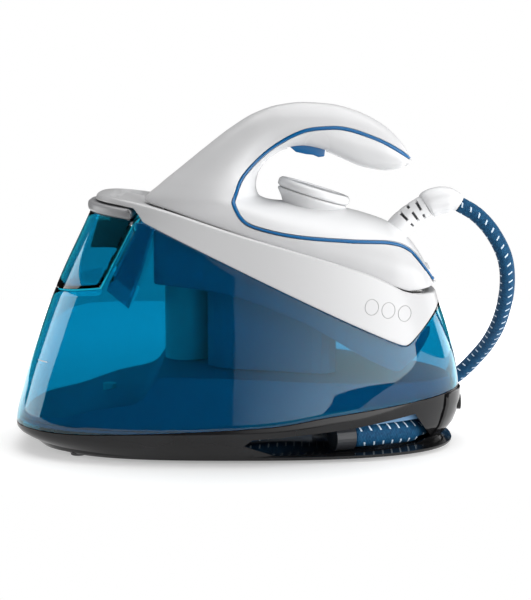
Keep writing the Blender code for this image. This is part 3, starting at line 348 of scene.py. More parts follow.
def rounded_band(lower, upper, levels, wall, low_round, high_round):
    """Closed wall between two side curves, as rings round it, with rounded edges."""
    low, high = height_at(BODY, lower), height_at(BODY, upper)
    straight = high - low - low_round - high_round
    up, down = quarter((30, 60, 90), high_round), quarter((30, 60, 90), low_round)
    rings = [hull(BODY, low + low_round + straight * s, 0.0) for s in np.linspace(0, 1, levels)]
    rings += [hull(BODY, high - d, i) for d, i in up]
    rings += [hull(BODY, high - d, wall - i) for d, i in up[::-1]]
    rings += [hull(BODY, low + low_round + straight * s, wall) for s in np.linspace(1, 0, levels)]
    rings += [hull(BODY, low + d, wall - i) for d, i in down]
    rings += [hull(BODY, low + d, i) for d, i in down[::-1]]
    return rings


def step_lengths(path):
    return np.linalg.norm(np.diff(path, axis=0), axis=1)


def unit(rows):
    """Each row scaled to length 1."""
    return rows / np.maximum(np.linalg.norm(rows, axis=1), 1e-9)[:, None]


def smooth_curve(points, count):
    """Evenly spaced points on a smooth curve through the given ones, as an array."""
    p = np.array(points, float)
    fine = []
    for i in range(len(p) - 1):
        before, start, end, after = p[max(i - 1, 0)], p[i], p[i + 1], p[min(i + 2, len(p) - 1)]
        for k in range(24):
            t = k / 24
            fine.append(0.5 * (2 * start + (end - before) * t
                               + (2 * before - 5 * start + 4 * end - after) * t ** 2
                               + (3 * start - before - 3 * end + after) * t ** 3))
    fine.append(p[-1])
    fine = np.array(fine)
    travelled = np.concatenate([[0], np.cumsum(step_lengths(fine[:, :3]))])
    at = np.linspace(0, travelled[-1], count)
    return np.stack([np.interp(at, travelled, fine[:, k]) for k in range(fine.shape[1])], axis=1)


# ---------------------------------------------------------------- meshes

MERGE = 1e-7    # points closer than this are one
NODE_BODY = {n: o["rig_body"] for n, o in frame["nodes"].items()}


def place(obj, node):
    """Makes obj the visible piece for a CAD node: joins it to the node's body and hides the node.
    """
    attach(obj, NODE_BODY[node])
    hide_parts(node)


def new_mesh(name, vertices, faces):
    mesh = bpy.data.meshes.new(name)
    mesh.from_pydata([tuple(v) for v in vertices], [], [tuple(f) for f in faces])
    return mesh


def linked(name, mesh):
    """New object with the mesh, in the scene."""
    obj = bpy.data.objects.new(name, mesh)
    bpy.context.scene.collection.objects.link(obj)
    return obj


def finished(name, mesh, angle, merge=0.0):
    """Object of a mesh with its faces turned outwards, smooth up to angle."""
    bm = bmesh.new()
    bm.from_mesh(mesh)
    if merge:
        bmesh.ops.remove_doubles(bm, verts=bm.verts, dist=merge)
    bmesh.ops.recalc_face_normals(bm, faces=bm.faces)
    bm.to_mesh(mesh)
    bm.free()
    mesh.shade_smooth()
    mesh.set_sharp_from_angle(angle=math.radians(angle))
    return linked(name, mesh)


def ring_faces(rows, count, wrap, start=0):
    faces = []
    for r in range(rows if wrap else rows - 1):
        a, b = start + r * count, start + ((r + 1) % rows) * count
        for i in range(count):
            j = (i + 1) % count
            faces.append((a + i, a + j, b + j, b + i))
    return faces


STRIPS = ("strips", "strips")


def cap_faces(first, count, style):
    """Faces that close a ring: one face, or strips across it, which follow a bent ring better."""
    if style == "face":
        return [tuple(range(first, first + count))]
    faces = []
    for i in range(count // 2):
        corners = []
        for k in (i, i + 1, (count - i - 1) % count, (count - i) % count):
            if first + k not in corners:
                corners.append(first + k)
        if len(corners) > 2:
            faces.append(tuple(corners))
    return faces


def lofted(name, rings, wrap=False, caps=("face", "face"), angle=40.0):
    rings = [np.asarray(r, float) for r in rings]
    count = len(rings[0])
    faces = ring_faces(len(rings), count, wrap)
    if not wrap:
        faces += cap_faces(0, count, caps[0])
        faces += cap_faces((len(rings) - 1) * count, count, caps[1])
    return finished(name, new_mesh(name, np.concatenate(rings), faces), angle, MERGE)


def apply_all(obj):
    """Applies an object's modifiers and clears them."""
    graph = bpy.context.evaluated_depsgraph_get()
    mesh = bpy.data.meshes.new_from_object(obj.evaluated_get(graph))
    obj.modifiers.clear()
    obj.data = mesh
    mesh.shade_smooth()
    mesh.set_sharp_from_angle(angle=math.radians(38))


def cut(target, *tools):
    """Takes the tools out of the target and removes them."""
    for tool in tools:
        step = target.modifiers.new("cut", "BOOLEAN")
        step.operation = "DIFFERENCE"
        step.solver = "EXACT"
        step.object = tool
    bpy.context.view_layer.update()
    apply_all(target)
    for tool in tools:
        bpy.data.objects.remove(tool, do_unlink=True)


def bevelled(obj, width):
    step = obj.modifiers.new("bevel", "BEVEL")
    step.width = width
    step.segments = 3
    step.limit_method = "ANGLE"
    step.angle_limit = math.radians(30.0)
    bpy.context.view_layer.update()
    apply_all(obj)


def prism(name, outline, low_y, high_y):
    return lofted(name, [[(x, y, z) for x, z in outline] for y in (low_y, high_y)])


def block(name, low, high):
    outline = ((low[0], low[2]), (high[0], low[2]), (high[0], high[2]), (low[0], high[2]))
    return prism(name, outline, low[1], high[1])


def turned(name, profile, base, axis, segments=96, wrap=False):
    """Profile of (radius, height) points turned about an axis."""
    turned_to = Vector(axis).to_track_quat("Z", "Y").to_matrix().to_4x4()
    matrix = Matrix.Translation(Vector(base)) @ turned_to
    turn = np.linspace(0, 2 * math.pi, segments, endpoint=False)
    rings = []
    for radius, height in profile:
        rings.append([matrix @ Vector((radius * math.cos(a), radius * math.sin(a), height))
                      for a in turn])
    return lofted(name, rings, wrap)


def softened(profile, radius, steps=4):
    """The open profile with its inner corners rounded."""
    p = [np.array(q, float) for q in profile]
    out = [p[0]]
    for before, here, after in zip(p, p[1:], p[2:]):
        back, on = np.linalg.norm(before - here), np.linalg.norm(after - here)
        reach = min(radius, 0.45 * back, 0.45 * on)
        a = here + (before - here) / back * reach
        b = here + (after - here) / on * reach
        for k in range(steps + 1):
            t = k / steps
            out.append((1 - t) ** 2 * a + 2 * t * (1 - t) * here + t ** 2 * b)
    out.append(p[-1])
    return [tuple(q) for q in out]


def peg(name, start, end, radius, edge=0.0006, segments=48):
    """Round bar with rounded ends."""
    length = (Vector(end) - Vector(start)).length
    profile = softened(((0.0001, 0), (radius, 0), (radius, length), (0.0001, length)), edge)
    return turned(name, profile, start, Vector(end) - Vector(start), segments)


def sweep(name, path, radii, sides, shape=None):
    """Tube along path with a UV map: u once round it, v in metres along it. shape gives the
    radii round one ring, where it isn't round."""
    path = np.asarray(path, float)
    count = len(path)
    tangents = unit(np.gradient(path, axis=0))
    side = np.cross(tangents[0], (0, 0, 1.0))
    if np.linalg.norm(side) < 1e-6:    # the path starts straight up, so any level direction does
        side = np.array((1.0, 0, 0))
    side /= np.linalg.norm(side)
    travelled = np.concatenate([[0], np.cumsum(step_lengths(path))])
    turn = np.linspace(0, 2 * math.pi, sides, endpoint=False)
    rings = []
    for i in range(count):
        side = side - tangents[i] * np.dot(side, tangents[i])
        side /= np.linalg.norm(side)
        up = np.cross(side, tangents[i])
        radius = shape(travelled[i], turn, radii[i]) if shape else np.full(sides, radii[i])
        rings.append(path[i] + np.outer(np.cos(turn) * radius, side)
                     + np.outer(np.sin(turn) * radius, up))
    faces = ring_faces(count, sides, False)
    faces += [tuple(range(sides)), tuple(range((count - 1) * sides, count * sides))]
    mesh = new_mesh(name, np.concatenate(rings), faces)
    layer = mesh.uv_layers.new(name="along")
    spread = np.zeros(len(mesh.loops) * 2)
    corner = 0
    for f, face in enumerate(faces):
        for k, v in enumerate(face):
            i, j = divmod(v, sides)
            u = j / sides
            if f < (count - 1) * sides and j == 0 and k in (1, 2):
                u = 1.0
            spread[2 * corner] = u
            spread[2 * corner + 1] = travelled[i]
            corner += 1
    layer.data.foreach_set("uv", spread)
    return finished(name, mesh, 50.0)


# ---------------------------------------------------------------- materials

MIX_FACTOR, MIX_A, MIX_B, MIX_RESULT = 0, 6, 7, 2    # sockets of a Mix node set to colours


class Look:
    """A Principled material with helpers for its procedural detail."""

    def __init__(self, name, colour, roughness, **more):
        self.made = bpy.data.materials.new(name)
        self.made.use_nodes = True
        self.tree = self.made.node_tree
        self.shader = self.tree.nodes["Principled BSDF"]
        self.colour = colour
        self.shader.inputs["Base Color"].default_value = (*colour, 1.0)
        self.shader.inputs["Roughness"].default_value = roughness
        for key, value in more.items():
            self.shader.inputs[key.replace("_", " ")].default_value = value

    def node(self, kind, **settings):
        made = self.tree.nodes.new(kind)
        for key, value in settings.items():
            if hasattr(made, key):
                setattr(made, key, value)
            else:
                made.inputs[key.replace("_", " ")].default_value = value
        return made

    def link(self, source, target):
        self.tree.links.new(source, target)

    def place(self, kind="Object"):
        return self.node("ShaderNodeTexCoord").outputs[kind]

    def noise(self, scale, detail=3.0, stretch=None):
        where = self.place()
        if stretch is not None:
            mapping = self.node("ShaderNodeMapping", Scale=stretch)
            self.link(where, mapping.inputs["Vector"])
            where = mapping.outputs["Vector"]
        made = self.node("ShaderNodeTexNoise", Scale=scale, Detail=detail)
        self.link(where, made.inputs["Vector"])
        return made.outputs["Fac"]

    def ranged(self, source, low=0.0, high=1.0, from_low=0.3, from_high=0.7):
        """The source's range from_low to from_high, spread over low to high."""
        made = self.node("ShaderNodeMapRange", From_Min=from_low, From_Max=from_high,
                         To_Min=low, To_Max=high)
        self.link(source, made.inputs["Value"])
        return made.outputs["Result"]

    def mixed(self, factor, first, second):
        """Blend of two colours, each of them given or another node's output."""
        mix = self.node("ShaderNodeMix", data_type="RGBA")
        for socket, colour in ((MIX_A, first), (MIX_B, second)):
            if isinstance(colour, tuple):
                mix.inputs[socket].default_value = (*colour, 1.0)
            else:
                self.link(colour, mix.inputs[socket])
        self.link(factor, mix.inputs[MIX_FACTOR])
        return mix.outputs[MIX_RESULT]

    def maths(self, operation, *values):
        made = self.node("ShaderNodeMath", operation=operation)
        for socket, value in zip(made.inputs, values):
            if isinstance(value, (int, float)):
                socket.default_value = value
            else:
                self.link(value, socket)
        return made.outputs[0]

    def vary_colour(self, source, other):
        """Blends the base colour to another one by a noise."""
        self.link(self.mixed(source, self.colour, other), self.shader.inputs["Base Color"])

    def vary_roughness(self, source, low, high):
        self.link(self.ranged(source, low, high), self.shader.inputs["Roughness"])

    def bump(self, source, strength, distance):
        made = self.node("ShaderNodeBump", Strength=strength, Distance=distance)
        self.link(source, made.inputs["Height"])
        self.link(made.outputs["Normal"], self.shader.inputs["Normal"])


def moulded(name, colour, other, roughness, grain=900.0, depth=0.00002, **more):
    """Injection-moulded plastic: faint mottling, a fine skin and uneven gloss."""
    look = Look(name, colour, roughness, **more)
    look.vary_colour(look.ranged(look.noise(24.0, 2.0)), other)
    look.vary_roughness(look.noise(9.0, 1.0), roughness * 0.95, roughness * 1.06)
    look.bump(look.noise(grain, 2.0), 0.35, depth)
    return look


# The woven sleeve: pitches along it in metres, turns of the ridges and yarns round it, and the
# pale flecks' spacing and half sizes as shares of their row and pitch
RIDGE_PITCH, RIDGE_TURNS = 0.0013, 3
YARN_PITCH, YARN_TURNS = 0.0031, 14
FLECK_ROWS, FLECK_PITCH, FLECK_SKEW = 4.0, 0.0088, 0.55
FLECK_HALF_WIDTH, FLECK_HALF_LENGTH = 0.19, 0.085


def braid_look():
    """Woven sleeve: fine ridges across the hose and four rows of pale flecks."""
    look = Look("blue_braid", (0.030, 0.140, 0.310), 0.62, Specular_IOR_Level=0.15)
    maths = look.maths
    split = look.node("ShaderNodeSeparateXYZ")
    look.link(look.node("ShaderNodeUVMap", uv_map="along").outputs["UV"], split.inputs["Vector"])
    u, v = split.outputs["X"], split.outputs["Y"]

    def off_middle(value):
        """How far the value's fraction is from a half, with its sign."""
        return maths("SUBTRACT", maths("FRACT", value), 0.5)

    ridges = maths("SINE", maths("ADD", maths("MULTIPLY", v, 2 * math.pi / RIDGE_PITCH),
                                 maths("MULTIPLY", u, 2 * math.pi * RIDGE_TURNS)))
    yarns = maths("SINE", maths("SUBTRACT", maths("MULTIPLY", v, 2 * math.pi / YARN_PITCH),
                                maths("MULTIPLY", u, 2 * math.pi * YARN_TURNS)))
    row = maths("MULTIPLY", u, FLECK_ROWS)
    parity = maths("MODULO", maths("FLOOR", row), 2.0)
    along = maths("ADD", maths("DIVIDE", v, FLECK_PITCH), maths("MULTIPLY", parity, 0.5))
    skewed = maths("ADD", along, maths("MULTIPLY", off_middle(row), FLECK_SKEW))
    fleck = maths("MULTIPLY",
                  maths("LESS_THAN", maths("ABSOLUTE", off_middle(row)), FLECK_HALF_WIDTH),
                  maths("LESS_THAN", maths("ABSOLUTE", off_middle(skewed)), FLECK_HALF_LENGTH))
    shade = maths("ADD", maths("MULTIPLY", look.ranged(look.noise(420.0)), 0.55),
                  maths("MULTIPLY", maths("ADD", maths("MULTIPLY", ridges, yarns), 1.0), 0.22))
    yarn = look.mixed(shade, (0.003, 0.030, 0.085), (0.014, 0.110, 0.235))
    look.link(look.mixed(fleck, yarn, (0.66, 0.80, 0.93)), look.shader.inputs["Base Color"])
    height = maths("ADD", maths("MULTIPLY", ridges, 0.6), maths("MULTIPLY", yarns, 0.35))
    look.bump(maths("ADD", height, maths("MULTIPLY", fleck, 1.2)), 0.6, 0.00025)
    return look


def brushed(name, colour, roughness, stretch):
    look = Look(name, colour, roughness, Metallic=1.0)
    lines = look.noise(260.0, 4.0, stretch)
    look.vary_colour(look.ranged(lines), tuple(c * 0.8 for c in colour))
    look.vary_roughness(lines, roughness * 0.75, roughness * 1.3)
    look.bump(lines, 0.3, 0.00003)
    return look


def board_look():
    look = Look("circuit_board", (0.015, 0.120, 0.055), 0.4)
    cells = look.node("ShaderNodeTexBrick", Scale=120.0)
    look.link(look.place(), cells.inputs["Vector"])
    look.vary_colour(look.ranged(cells.outputs["Fac"], 0.0, 1.0, 0.2, 0.8), (0.45, 0.36, 0.12))
    look.vary_roughness(look.noise(300.0), 0.3, 0.5)
    return look


def clear_look():
    """Tinted clear plastic of the tank and the drawer, faintly wavy."""
    look = Look("clear_blue", (0.012, 0.375, 0.530), 0.02, Transmission_Weight=1.0, IOR=1.46)
    look.bump(look.noise(14.0, 1.5), 0.05, 0.002)
    look.vary_roughness(look.noise(40.0), 0.012, 0.04)
    return look


def black_look():
    """Polished black plastic of the base."""
    look = Look("glossy_black", (0.0075, 0.0075, 0.0080), 0.10, IOR=1.36)
    look.vary_colour(look.ranged(look.noise(30.0)), (0.011, 0.011, 0.012))
    look.vary_roughness(look.noise(55.0, 5.0), 0.07, 0.15)
    look.bump(look.noise(240.0, 2.0), 0.06, 0.00005)
    return look


# Moulded materials: colour, its mottling, roughness, then the skin's scale and depth
MOULDED = {
    "dark_plastic": ((0.018, 0.020, 0.024), (0.026, 0.028, 0.033), 0.42, 700.0, 0.00004),
    "light_grey": ((0.630, 0.631, 0.638), (0.625, 0.626, 0.634), 0.30),
    # The next grey is the light grey made darker for the deck alone: painted shade on the deck's
    # band.
    "deck_painted_shade_grey": ((0.570, 0.571, 0.577), (0.565, 0.566, 0.573), 0.30),
    # The next grey is the light grey darkened as painted shade for the drawer's grip under the
    # deck's lip; it is also the print colour of the deck's rings.
    "grip_shade_and_ring_print": ((0.360, 0.360, 0.370), (0.340, 0.342, 0.352), 0.32),
    "inner_plastic": ((0.110, 0.235, 0.400), (0.100, 0.215, 0.370), 0.55, 300.0, 0.000003),
    "white_plastic": ((0.750, 0.754, 0.762), (0.745, 0.749, 0.758), 0.26),
    "trim_blue": ((0.004, 0.125, 0.330), (0.003, 0.110, 0.300), 0.14, 500.0, 0.00001),
    "grey_rubber": ((0.060, 0.060, 0.064), (0.085, 0.085, 0.088), 0.75, 500.0, 0.00008),
    "heat_shield": ((0.080, 0.080, 0.088), (0.110, 0.108, 0.110), 0.55, 400.0, 0.00005),
    "lamp_lens": ((0.85, 0.32, 0.06), (0.75, 0.26, 0.05), 0.12, 300.0, 0.00001),
}
LOOKS = {name: moulded(name, *values) for name, values in MOULDED.items()}
LOOKS.update({
    "glossy_black": black_look(), "clear_blue": clear_look(), "blue_braid": braid_look(),
    "brushed_steel": brushed("brushed_steel", (0.62, 0.62, 0.61), 0.26, (1.0, 14.0, 1.0)),
    "cast_aluminium": brushed("cast_aluminium", (0.52, 0.52, 0.53), 0.5, (1.0, 1.0, 1.0)),
    "circuit_board": board_look(),
})
SLOT_OF = {part["node"]: part["material_slot"] for part in frame["record"]["subparts"]}
SEEN_THROUGH_TANK = ("boiler_tower", "chassis_plate")
for node_name, node_object in frame["nodes"].items():
    finish = "inner_plastic" if node_name in SEEN_THROUGH_TANK else SLOT_OF[node_name]
    for material_slot in node_object.material_slots:
        material_slot.material = LOOKS[finish].made


def stand_in(obj, node, look=None):
    """Makes obj the visible piece for a CAD node, in the node's own material or another one."""
    obj.data.materials.clear()
    obj.data.materials.append(LOOKS[look or SLOT_OF[node]].made)
    place(obj, node)
    return obj


# ---------------------------------------------------------------- camera

CAMERA_PLACE = (0.0232, -1.3369, 0.3157)
CAMERA_TILT = math.radians(82.0)
eye = bpy.data.cameras.new("camera")
eye.lens = 90.0
eye.sensor_width = 36.0
eye.clip_start = 0.05
camera = linked("camera", eye)
camera.location = CAMERA_PLACE
camera.rotation_euler = (CAMERA_TILT, 0.0, 0.0)
bpy.context.scene.camera = camera

# ---------------------------------------------------------------- hose

hose_path = smooth_curve(HOSE_ROUTE, 620)
hose = sweep("steam_hose_braid", hose_path, np.full(len(hose_path), HOSE_RADIUS), 28)
hose.data.materials.append(LOOKS["blue_braid"].made)
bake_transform(hose)
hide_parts("steam_hose")

sleeve_path = smooth_curve(SLEEVE_ROUTE, 60)
SLEEVE_END = (SLEEVE_RADIUS - 0.0022, SLEEVE_RADIUS - 0.0008, SLEEVE_RADIUS - 0.0002)
sleeve_radii = np.full(len(sleeve_path), SLEEVE_RADIUS)
sleeve_radii[:3] = SLEEVE_END
sleeve_radii[-3:] = SLEEVE_END[::-1]
sleeve = stand_in(sweep("hose_end_sleeve_braid", sleeve_path, sleeve_radii, 48), "hose_end_sleeve")

# ---------------------------------------------------------------- station


def slot_outline(upper):
    """Side outline of the hose slot in the tray's wall."""
    return [(0.0050, 0.0180), (0.0120, 0.0235), *upper, (0.1700, 0.0110), (0.1560, 0.0070),
            (0.0320, 0.0070)]


def end_holes(button_start, lamp_end):
    """Cutters for the power button and the lamp, through the base's low end."""
    return (peg("button_hole", (button_start, 0, BUTTON_Z), (0.205, 0, BUTTON_Z),
                BUTTON_RADIUS + 0.0004),
            peg("lamp_hole", (0.186, LAMP_Y, BUTTON_Z), (lamp_end, LAMP_Y, BUTTON_Z),
                LAMP_HOLE, 0.0001, 24))


def build_tray():
    rings = []
    for z in (TRAY_BOTTOM, *LIP_HEIGHTS, PANEL_BOTTOM, 0.0140, 0.0180, *CREASE):
        rings.append(hull(BODY, z, 0.0))
    top = height_at(BODY, seam)
    rings.append(hull(BODY, CREASE[1] + (top - CREASE[1]) * 0.5, 0.0))
    rings += [hull(BODY, top - d, i) for d, i in quarter((0, 30, 60, 90), 0.0005)]
    rings.append(hull(BODY, top, WALL))
    rings.append(hull(BODY, CREASE[0], WALL))
    low = hull(BODY, PANEL_BOTTOM, WALL + 0.0015)
    low[:, 2] = TRAY_FLOOR
    rings.append(low)
    tray = lofted("base_tray_shell", rings, angle=30.0)
    near = prism("slot_near", slot_outline([(0.0980, 0.0300), (0.1530, 0.0370)]), -0.120, -0.030)
    far = prism("slot_far", slot_outline([(0.0980, 0.0345), (0.1530, 0.0405)]), 0.030, 0.120)
    inlet_x, inlet_z = INLET
    cut(tray, near, far, *end_holes(0.180, 0.202),
        peg("inlet_hole", (inlet_x, 0.085, inlet_z), (inlet_x, 0.115, inlet_z), INLET_HOLE,
            0.0001, 32))
    stand_in(tray, "base_tray")


def build_end_panel():
    def high(x):
        return seam(x) - 0.0012

    spread = np.linspace(-3, 3, 41) * 2 * math.pi / 48
    top = height_at(spread, high)
    rings = []
    edge = 0.0006
    for share, back in ((0.0, edge), (0.0, 0.0), (0.25, 0.0), (0.5, 0.0), (0.75, 0.0), (1.0, 0.0),
                        (1.0, edge)):
        z = PANEL_BOTTOM + (top - PANEL_BOTTOM) * share
        if back == 0.0 and share in (0.0, 1.0):
            z = z + (edge if share == 0.0 else -edge)
        proud = np.full(len(spread), -PANEL_PROUD + back)
        proud[0] = proud[-1] = -PANEL_PROUD + edge
        outer = hull(spread, z, proud)
        inner = hull(spread, z, -GAP)
        rings.append(np.concatenate([outer, inner[::-1]]))
    panel = lofted("end_panel_shell", rings, angle=50.0)
    cut(panel, *end_holes(0.190, 0.203))
    stand_in(panel, "end_panel")


def build_tank():
    rings = rounded_band(lambda x: seam(x) + GAP, tank_top, 26, WALL, 0.0005, 0.0008)
    stand_in(lofted("water_tank_shell", rings, wrap=True), "water_tank")


def clamped(ring, least_x):
    ring = ring.copy()
    ring[:, 0] = np.maximum(ring[:, 0], least_x)
    return ring


def build_deck():
    low, high = height_at(BODY, band_edge), height_at(BODY, rim)
    lip = hull(BODY, high, WALL + 0.0012)
    x = lip[:, 0]
    under = floor_plane(x) - FLOOR_THICKNESS
    lip[:, 2] = np.where(x < -0.075, np.maximum(under, band_edge(x)), under)
    rings = [lip, hull(BODY, low, WALL)]
    edge, crown = 0.0007, 0.0018
    rings += [hull(BODY, low + d, i) for d, i in quarter((90, 60, 30), edge)]
    for s in np.linspace(0, 1, 16):
        rings.append(hull(BODY, low + edge + (high - low - edge - crown) * s, 0.0))
    rings += [hull(BODY, high - d, i) for d, i in quarter((18, 36, 54, 72, 90), crown)]
    rings.append(clamped(hull(BODY, high, RIM_WIDTH - 0.0008), RIM_FRONT - 0.0006))
    rings.append(clamped(hull(BODY, high - 0.0004, RIM_WIDTH), RIM_FRONT))
    floor = clamped(hull(BODY, high, FLOOR_INSET), FLOOR_FRONT)
    floor[:, 2] = floor_plane(floor[:, 0])
    rings.append(floor)
    # The deck's darker grey is painted shade.
    stand_in(lofted("deck_shell", rings, caps=STRIPS, angle=35.0), "deck", "deck_painted_shade_grey")


def build_pan():
    def high(x):
        return floor_plane(x) - FLOOR_THICKNESS - 0.0008

    top = height_at(BODY, high)

    def ring(share, inset, front_x, lift=0.0):
        points = clamped(hull(BODY, top, inset), front_x)
        x = points[:, 0]
        points[:, 2] = pan_bottom(x) + (high(x) - pan_bottom(x)) * share + lift
        return points

    inside = PAN_INSET + PAN_WALL
    rings = [ring(0, PAN_INSET + 0.0012, PAN_FRONT + 0.0012),
             ring(0.02, PAN_INSET, PAN_FRONT, 0.0008)]
    rings += [ring(s, PAN_INSET, PAN_FRONT) for s in (0.3, 0.6, 1.0)]
    rings += [ring(1, inside, PAN_FRONT + PAN_WALL),
              ring(0, inside, PAN_FRONT + PAN_WALL, PAN_WALL)]
    stand_in(lofted("deck_pan_shell", rings, caps=STRIPS), "deck_pan", "inner_plastic")


def build_housing():
    def low(x):
        return np.full(np.shape(x), CHASSIS_TOP + GAP + 0.0002)

    def inside_top(x):
        return hump(x) - HOUSING_WALL

    base, top, roof = height_at(BODY, low), height_at(BODY, hump), height_at(BODY, inside_top)
    rings = [hull(BODY, top, HOUSING_INSET + 0.0012)]
    for s in (0.96, 0.7, 0.35, 0.0):
        rings.append(hull(BODY, base + (top - base) * s, HOUSING_INSET))
    for s in (0.0, 0.5, 1.0):
        rings.append(hull(BODY, base + (roof - base) * s, HOUSING_INSET + HOUSING_WALL))
    made = lofted("inner_housing_shell", rings, caps=STRIPS)
    cut(made, peg("boiler_hole", (BOILER_X, 0, 0.050), (BOILER_X, 0, 0.090), BOILER_HOLE),
        peg("pump_hole", (PUMP_X, 0, 0.060), (PUMP_X, 0, 0.090), PUMP_HOLE),
        peg("feed_hole", (FEED_X, 0, 0.035), (FEED_X, 0, 0.060), FEED_HOLE),
        block("switch_room", (0.170, -0.013, 0.020), (0.205, 0.020, 0.0475)),
        block("hose_room", (0.100, 0.045, 0.020), (0.150, 0.090, 0.0380)))
    stand_in(made, "inner_housing", "inner_plastic")


def build_drawer():
    turns = np.radians(np.linspace(110, 250, 97))

    def section(level, inset):
        def edge(x):
            low, high = drawer_bottom(x) + DRAWER_GAP, drawer_top(x)
            return low + (high - low) * level

        z = height_at(turns, edge)
        points = hull(turns, z, inset)
        points[:, 0] = np.minimum(points[:, 0], drawer_line(z) - DRAWER_GAP - inset)
        return points

    outer = [section(s, i) for s, i in ((0.0, 0.0006), (0.006, 0.00015), (0.014, 0.0))]
    outer += [section(s, 0.0) for s in np.linspace(0.05, 0.985, 16)] + [section(1.0, 0.0006)]
    inner = [section(s, WALL) for s in np.linspace(0, 1, 16)]
    inner[0][:, 2] += WALL
    stand_in(lofted("fill_drawer_cup", outer + inner[::-1]), "fill_drawer")

    spread = np.radians(np.linspace(112, 248, 81))

    def outline(proud):
        points = hull(spread, 0.214, -proud)
        return np.minimum(points[:, 0], GRIP_BACK - (GRIP_PROUD - proud)), points[:, 1]

    rings = []
    edge = 0.0030
    for a in (-90, -60, -30, 0, 0.001, 30, 60, 90):
        turn = math.radians(a)
        x, y = outline(GRIP_PROUD - edge * (1 - math.cos(turn)))
        drop = (GRIP_THICKNESS - edge if a <= 0 else edge) - edge * math.sin(turn)
        rings.append(np.stack([x, y, grip_top(x) - drop], axis=1))
    # The grip's darker grey is painted shade under the deck's lip.
    stand_in(lofted("drawer_grip_bar", rings), "drawer_grip", "grip_shade_and_ring_print")

    core = prism("drawer_block_core", ((-0.1280, 0.1800), (-0.1050, 0.1800), (-0.0925, 0.2045),
                                       (-0.1200, 0.2068)), -0.046, 0.046)
    bevelled(core, 0.0012)
    stand_in(core, "drawer_block")


def build_chute():
    outline = ((-0.1125, 0.1490), (-0.1150, 0.1420), (-0.0960, 0.1260), (-0.0840, 0.1580),
               (-0.0745, 0.1900), (-0.0740, 0.2030), (-0.0842, 0.2030))
    hollow = ((-0.1090, 0.1500), (-0.1240, 0.1400), (-0.1020, 0.1200), (-0.0862, 0.1590),
              (-0.0767, 0.1905), (-0.0762, 0.2010), (-0.0838, 0.2010))
    made = prism("fill_chute_guide", outline, -0.042, 0.042)
    cut(made, prism("hollow", hollow, -0.040, 0.040))
    stand_in(made, "fill_chute")


def build_works():
    column = softened(((0.0175, 0.0800), (0.0175, 0.0764), (0.0195, 0.0764), (0.0195, 0.1440),
                       (0.0175, 0.1440), (0.0175, 0.0800)), 0.0005)
    stand_in(turned("pump_column_tube", column[:-1], (PUMP_X, 0, 0), (0, 0, 1), wrap=True),
             "pump_column")


build_tray()
build_end_panel()
build_tank()
build_deck()
build_pan()
build_housing()
build_drawer()
build_chute()
build_works()

# ---------------------------------------------------------------- iron

ROWS_PER_STATION = 12
SHELL_COLUMNS = 24


def station_rows():
    """Stations of the shell, finely spaced, with extra rows that round off its two ends."""
    data = np.array(STATIONS)
    index = np.arange(len(data))
    at = np.linspace(0, len(data) - 1, (len(data) - 1) * ROWS_PER_STATION + 1)
    rows = np.stack([[interpolate(list(zip(index, data[:, c])), t) for t in at]
                     for c in range(data.shape[1])], axis=1)
    return at, rows


STATION_AT, STATION_ROWS = station_rows()


def moved_path(distance):
    fine = smooth_curve(TRIM_PATH, 700)
    run = unit(np.gradient(fine, axis=0))
    return fine + np.stack([run[:, 1], -run[:, 0]], axis=1) * distance


def crossings(distance):
    """Where along each station's line the trim path, moved sideways, crosses it."""
    path = moved_path(distance)
    a, b = path[:-1], path[1:]
    found = []
    previous = None
    for row in STATION_ROWS:
        start, end = row[0:2], row[2:4]
        step = end - start
        run = b - a
        det = step[0] * -run[:, 1] + step[1] * run[:, 0]
        det = np.where(np.abs(det) < 1e-12, 1e-12, det)
        away = a - start
        v = (away[:, 0] * -run[:, 1] + away[:, 1] * run[:, 0]) / det
        u = (step[0] * away[:, 1] - step[1] * away[:, 0]) / det
        good = v[(u >= -1e-6) & (u <= 1 + 1e-6) & (v > -0.3) & (v < 1.6)]
        if len(good) == 0:
            value = previous if previous is not None else 0.97
        elif previous is None:
            value = good[np.argmin(np.abs(good - 0.9))]
        else:
            value = good[np.argmin(np.abs(good - previous))]
        found.append(value)
        previous = value
    return np.clip(np.array(found), 0.02, 0.985)


def shell_width(row, v):
    half, widest, end, full = row[4:8]
    rising = half * np.sqrt(np.maximum(0.0, 1 - (1 - np.minimum(v / widest, 1)) ** 2))
    t = np.clip((v - widest) / (1 - widest), 0, 1)
    falling = end + (half - end) * np.maximum(0.0, 1 - t ** full) ** (1 / full)
    return np.where(v <= widest, rising, falling)


def end_rows(row, run, reach, steps=7):
    """Rows that round off the shell past its last station."""
    made = []
    for k in range(1, steps + 1):
        turn = math.radians(90 * k / steps)
        moved = row.copy()
        moved[[0, 2]] += run[0] * reach * math.sin(turn)
        moved[[1, 3]] += run[1] * reach * math.sin(turn)
        moved[4] *= max(math.cos(turn), 0.0)
        moved[6] *= max(math.cos(turn), 0.0)
        made.append(moved)
    return made


def shell_grid():
    """All rows of the shell with the crossings of the trim's edges and middle."""
    half = TRIM_HALF + 0.0002
    rows = list(zip(STATION_AT, STATION_ROWS, crossings(half), crossings(-half), crossings(0.0)))
    first, last = rows[0], rows[-1]
    tip = end_rows(first[1], (0.62, -0.40), 0.0022)
    heel = end_rows(last[1], (0.78, -0.22), 0.0030)
    head = [(0.0, r, first[2], first[3], first[4]) for r in tip[::-1]]
    tail = [(last[0], r, last[2], last[3], last[4]) for r in heel]
    return head + rows + tail


GRID = shell_grid()


def shell_points(row, v):
    start, end = row[0:2], row[2:4]
    along = start + (end - start) * v[:, None]
    return along, shell_width(row, v)


